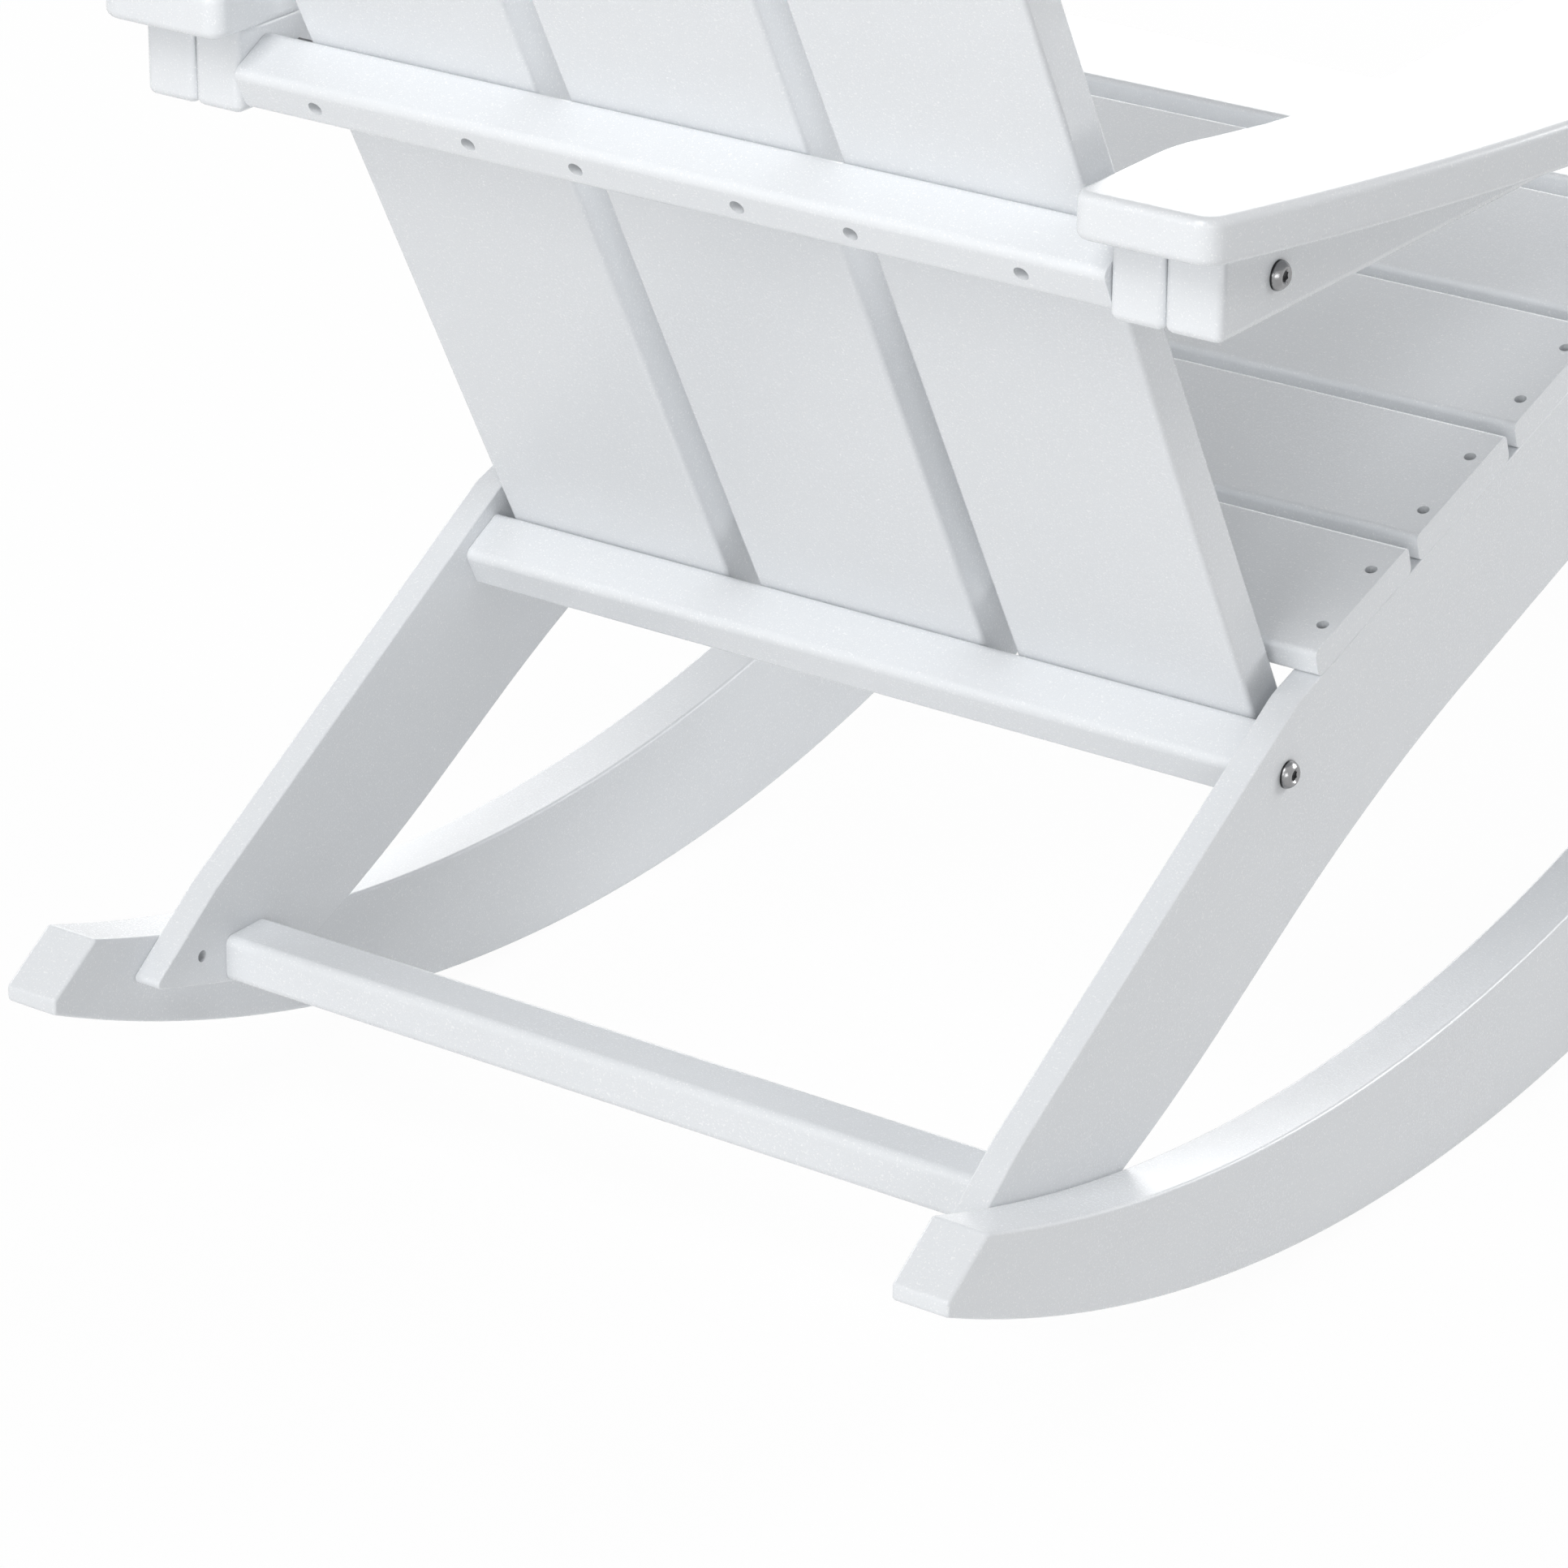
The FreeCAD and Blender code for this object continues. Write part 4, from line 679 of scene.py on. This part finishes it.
def make_supports(side_name, side):
    low = ARM_HEIGHT - SUPPORT_HEIGHT
    rear = SUPPORT_REAR
    steps = [(SCREW_HEAD_RADIUS, SUPPORT_SCREW_RECESS), (SCREW_HOLE_RADIUS, SCREW_HOLE_DEPTH)]
    inner_rows = (rear - INNER_SUPPORT_SCREWS[0], LEG_REAR + INNER_SUPPORT_SCREWS[1])
    outer_rows = (rear - OUTER_SUPPORT_SCREWS[0], 0, LEG_REAR + OUTER_SUPPORT_SCREWS[1])
    for kind, front, inner, thickness, round_front, rows in (
        ("inner", LEG_REAR, HALF_FRAME, LEG_THICKNESS, (), inner_rows),
        (
            "outer",
            LEG_FRONT,
            SUPPORT_JOINT,
            OUTER_SUPPORT_THICKNESS,
            (SUPPORT_ROUND,),
            outer_rows,
        ),
    ):
        corners = [
            (front, low, *round_front),
            (rear, low, SUPPORT_ROUND),
            (rear, ARM_HEIGHT),
            (front, ARM_HEIGHT),
        ]
        name = f"{side_name}_{kind}_arm_support"
        piece = side_board(name + "_plank", side, corners, inner, thickness, SUPPORT_ROUND)
        middle = side * (inner + thickness / 2)
        holes = [(in_chair(middle, y, low), UP, steps) for y in rows]
        board(drill(piece, holes), "level", name)


def make_arm(name, side):
    """The arm widens to the front along a long curve and narrows at the elbow."""
    rear = SUPPORT_REAR + ARM_REAR_OVERHANG
    front = LEG_FRONT - ARM_FRONT_OVERHANG
    step = rear - ARM_STEP_START
    bow = (ARM_OUTER, ARM_BOW_START)
    sag = ARM_BOW_RADIUS - math.sqrt(ARM_BOW_RADIUS**2 - (rear - ARM_BOW_START) ** 2)
    rear_corner = (ARM_OUTER - sag, rear)
    corners = [
        (ARM_INNER, rear, ARM_CORNERS["inner"]),
        (ARM_INNER, step, ARM_CORNERS["step"]),
        (ELBOW_INNER, step - ARM_STEP_LENGTH, ARM_CORNERS["elbow"]),
        (ARM_FRONT_INNER, front, ARM_CORNERS["front"]),
        (ARM_OUTER, front, ARM_CORNERS["front"]),
        bow,
        *arc_between(bow, rear_corner, ARM_BOW_RADIUS, 1, ARM_BOW_STEPS),
        (*rear_corner, ARM_CORNERS["outer"]),
    ]

    def place(x, y, w):
        return in_chair(side * x, y, ARM_HEIGHT + w)

    board(sawn(name + "_plank", corners, place, ARM_BOARD, ARM_ROUND, 5), "level", name)


def make_bar(name, section, place, half_length, holes=()):
    """A board across the chair from its section, with crisp ends."""

    def along(u, v, w):
        return place(w - half_length, u, v)

    piece = sawn(name + "_bar", section, along, 2 * half_length, SAWN_END, 2)
    board(drill(piece, holes) if holes else piece, "across", name)


def rounded_section(left, right, low, high, radius):
    return [(left, low, radius), (right, low, radius), (right, high, radius), (left, high, radius)]


def make_bars():
    into_back = in_back(0, 0, -1) - in_back(0, 0, 0)

    def back_bar(x, u, v):
        return in_back(x, v, u)

    for name, rise, half in (
        ("upper_back_rail", UPPER_RAIL_RISE, HALF_FRAME),
        ("lower_back_rail", LOWER_RAIL_RISE, HALF_FRAME - THIN_BOARD),
    ):
        section = rounded_section(
            0, BAR_DEPTH, rise - BAR_HEIGHT / 2, rise + BAR_HEIGHT / 2, BAR_ROUND
        )
        holes = []
        if name == "upper_back_rail":
            holes = [(in_back(x, rise, BAR_DEPTH), into_back, RAIL_STEPS) for x in BACK_SCREWS]
        make_bar(name, section, back_bar, half, holes)
    section = rounded_section(
        STRETCHER_Y - BAR_DEPTH / 2,
        STRETCHER_Y + BAR_DEPTH / 2,
        STRETCHER_Z - BAR_HEIGHT / 2,
        STRETCHER_Z + BAR_HEIGHT / 2,
        BAR_ROUND,
    )
    make_bar("rear_stretcher", section, in_chair, HALF_FRAME - THIN_BOARD)
    low = LEVEL_Z - APRON_HEIGHT
    section = [
        (APRON_FRONT, low, BOARD_ROUND),
        (STRINGER_FRONT, low),
        (STRINGER_FRONT, LEVEL_Z),
        (APRON_FRONT, LEVEL_Z),
    ]
    make_bar("front_apron", section, in_chair, HALF_FRAME)


def make_slat(name, place, rear, screws):
    """A seat slat; place gives the point for (x, along the seat, above its top)."""
    down = place(0, 0, -1) - place(0, 0, 0)
    section = rounded_section(rear - SLAT_WIDTH, rear, -THIN_BOARD, 0, SLAT_ROUND)
    spots = [(s * SEAT_SCREW_X, rear - inset) for s in (-1, 1) for inset in screws]
    holes = [(place(x, t, 0), down, SCREW_STEPS) for x, t in spots]
    make_bar(name, section, place, HALF_FRAME, holes)


def make_seat():
    """Four slats slope down to the back, and the one in front lies level."""

    def level(x, t, n):
        return in_chair(x, LEVEL_Y + t, LEVEL_Z + THIN_BOARD + n)

    for number in range(SLOPING_SLATS):
        rear = SEAT_REACH - number * SLAT_PITCH
        make_slat(f"seat_slat_{number + 1}", in_seat, rear, SLAT_SCREWS)
    make_slat("front_seat_slat", level, 0, FRONT_SLAT_SCREWS)


def make_back():
    def crown(x):
        return CROWN_HEIGHT - CROWN_RADIUS + math.sqrt(CROWN_RADIUS**2 - x**2)

    def place(x, rise, w):
        return in_back(x, rise, w - BACK_BOARD)

    into_back = in_back(0, 0, 1) - in_back(0, 0, 0)
    foot = LOWER_RAIL_RISE - BAR_HEIGHT / 2 - SLAT_FOOT
    flat = BACK_SLAT_WIDTH / 2 - CROWN_CORNER - CROWN_MARGIN
    for name, column in (("left", 1), ("center", 0), ("right", -1)):
        left = column * BACK_PITCH - BACK_SLAT_WIDTH / 2
        right = left + BACK_SLAT_WIDTH
        tops = [right + (left - right) * k / CROWN_STEPS for k in range(1, CROWN_STEPS)]
        corners = [
            (left, foot),
            (right, foot),
            (right, crown(right), CROWN_CORNER),
            *[(x, crown(x)) for x in tops if abs(x - column * BACK_PITCH) < flat],
            (left, crown(left), CROWN_CORNER),
        ]
        piece = sawn(name + "_back_slat_plank", corners, place, BACK_BOARD, BACK_ROUND)
        screws = BACK_SCREWS[2 * (column + 1) : 2 * (column + 1) + 2]
        holes = [(in_back(x, LOWER_RAIL_RISE, -BACK_BOARD), into_back, SCREW_STEPS) for x in screws]
        board(drill(piece, holes), "back", name + "_back_slat")


def countersink(piece, x, spots):
    """Opens the mouths of the bolts' hexagon sockets to a wider cone."""
    cones = []
    for side in (-1, 1):
        for y, z in spots:
            bpy.ops.object.select_all(action="DESELECT")
            bpy.ops.mesh.primitive_cone_add(
                vertices=CONE_SIDES,
                location=in_chair(side * (x + BOLT_HEAD_HEIGHT - SOCKET_CONE_SINK), y, z),
                rotation=(0, side * math.pi / 2, 0),
                **{name: value * MM for name, value in SOCKET_CONE.items()},
            )
            cones.append(bpy.context.object)
    cut_away(piece, cones)


def copied(node):
    """A copy of a CAD node's mesh with its triangles joined up."""
    piece = bpy.data.objects.new(node + "_finished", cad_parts[node].data.copy())
    bpy.context.scene.collection.objects.link(piece)
    only(piece)
    bpy.ops.mesh.customdata_custom_splitnormals_clear()
    bpy.ops.object.mode_set(mode="EDIT")
    bpy.ops.mesh.select_all(action="SELECT")
    bpy.ops.mesh.remove_doubles(threshold=WELD)
    bpy.ops.object.mode_set(mode="OBJECT")
    return piece


LOWER_BOLT = in_back(0, LOWER_RAIL_RISE - LOWER_BOLT_DROP, BAR_DEPTH / 2)
BOLTS = {
    "lower_rail_bolts": (HALF_FRAME, [(LOWER_BOLT.y / MM, LOWER_BOLT.z / MM)]),
    "arm_support_bolts": (
        SUPPORT_OUTER,
        [(SUPPORT_REAR - SUPPORT_BOLT_LEAD, SUPPORT_MIDDLE - SUPPORT_BOLT_DROP)]
        + [(y, SUPPORT_MIDDLE) for y in leg_bolt_rows()],
    ),
    "seat_frame_bolts": (
        SUPPORT_JOINT,
        [(STRINGER_FRONT + FRAME_BOLT_LEAD, LEVEL_Z - drop) for drop in FRAME_BOLT_DROPS],
    ),
}


def make_fasteners():
    screw_steel = steel_material("screw_steel", SCREW_STEEL, 0.35)
    plain_steel = steel_material("plain_steel", BOLT_STEEL, 0.28)
    brass = steel_material("insert_brass", INSERT_BRASS, 0.3)
    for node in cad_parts:
        if not node.endswith(("screws", "bolts", "nuts", "inserts")):
            continue
        piece = copied(node)
        material, slot = plain_steel, "stainless_steel"
        if node in BOLTS:
            seat, spots = BOLTS[node]
            countersink(piece, seat, spots)
            material = steel_material(node + "_steel", BOLT_STEEL, 0.22, seat)
        elif node.endswith("screws"):
            material = screw_steel
        elif node.endswith("inserts"):
            material, slot = brass, "brass_insert"
        settle(piece, material, slot, node, smooth=35.0)


def light(name, place, target, size, power):
    data = bpy.data.lights.new(name, "AREA")
    data.shape = "RECTANGLE"
    data.size, data.size_y = size
    data.energy = power
    lamp = bpy.data.objects.new(name, data)
    lamp.location = place
    lamp.rotation_mode = "QUATERNION"
    lamp.rotation_quaternion = (Vector(target) - Vector(place)).to_track_quat("-Z", "Y")
    bpy.context.scene.collection.objects.link(lamp)


def studio():
    """A white floor that keeps the chair's shadow, and soft lamps all around."""
    ground = Shading("studio_floor", Base_Color=FLOOR_COLOUR, Roughness=0.9)
    glow = ground.node("Emission", Color=WHITE, Strength=1.0).outputs[0]
    share = ground.seen_directly() * FLOOR_GLOW
    lit = ground.surface.outputs["BSDF"]
    ground.feed(ground.output.inputs["Surface"], ground.mixed(share, lit, glow))
    bpy.ops.object.select_all(action="DESELECT")
    bpy.ops.mesh.primitive_circle_add(
        vertices=FLOOR_SIDES, radius=FLOOR_RADIUS, fill_type="NGON"
    )
    floor = bpy.context.object
    floor.name = "studio_floor"
    floor.data.materials.append(ground.material)

    world = bpy.data.worlds.new("studio_world")
    bpy.context.scene.world = world
    world.use_nodes = True
    sky = Nodes(world.node_tree)
    output = sky.node("OutputWorld")
    ambient = sky.node("Background", Color=AMBIENT_COLOUR, Strength=AMBIENT).outputs[0]
    white = sky.node("Background", Color=WHITE, Strength=1.0).outputs[0]
    sky.feed(output.inputs["Surface"], sky.mixed(sky.seen_directly(), ambient, white))

    for name, place, size, power in LAMPS:
        light(name, place, LAMP_TARGET, size, power)


def camera():
    """The photograph's view, from behind, above and to the sitter's right."""
    data = bpy.data.cameras.new("camera")
    data.sensor_width = 36
    data.lens = CAMERA_LENS
    data.shift_x, data.shift_y = CAMERA_SHIFT
    data.clip_start, data.clip_end = 0.05, 60
    view = bpy.data.objects.new("camera", data)
    view.location = CAMERA_PLACE
    level = math.cos(CAMERA_ELEVATION)
    east, north = math.sin(CAMERA_AZIMUTH) * level, -math.cos(CAMERA_AZIMUTH) * level
    back = Vector((east, north, math.sin(CAMERA_ELEVATION)))
    view.rotation_mode = "QUATERNION"
    view.rotation_quaternion = (-back).to_track_quat("-Z", "Y")
    bpy.context.scene.collection.objects.link(view)
    bpy.context.scene.camera = view


for side_name, side in (("left", 1), ("right", -1)):
    make_rocker(side_name + "_rocker", side)
    make_stringer(side_name + "_seat_stringer", side)
    make_leg(side_name + "_front_leg", side)
    make_supports(side_name, side)
    make_arm(side_name + "_arm", side)
make_bars()
make_seat()
make_back()
make_fasteners()
studio()
camera()
bpy.context.scene.view_settings.view_transform = "Standard"
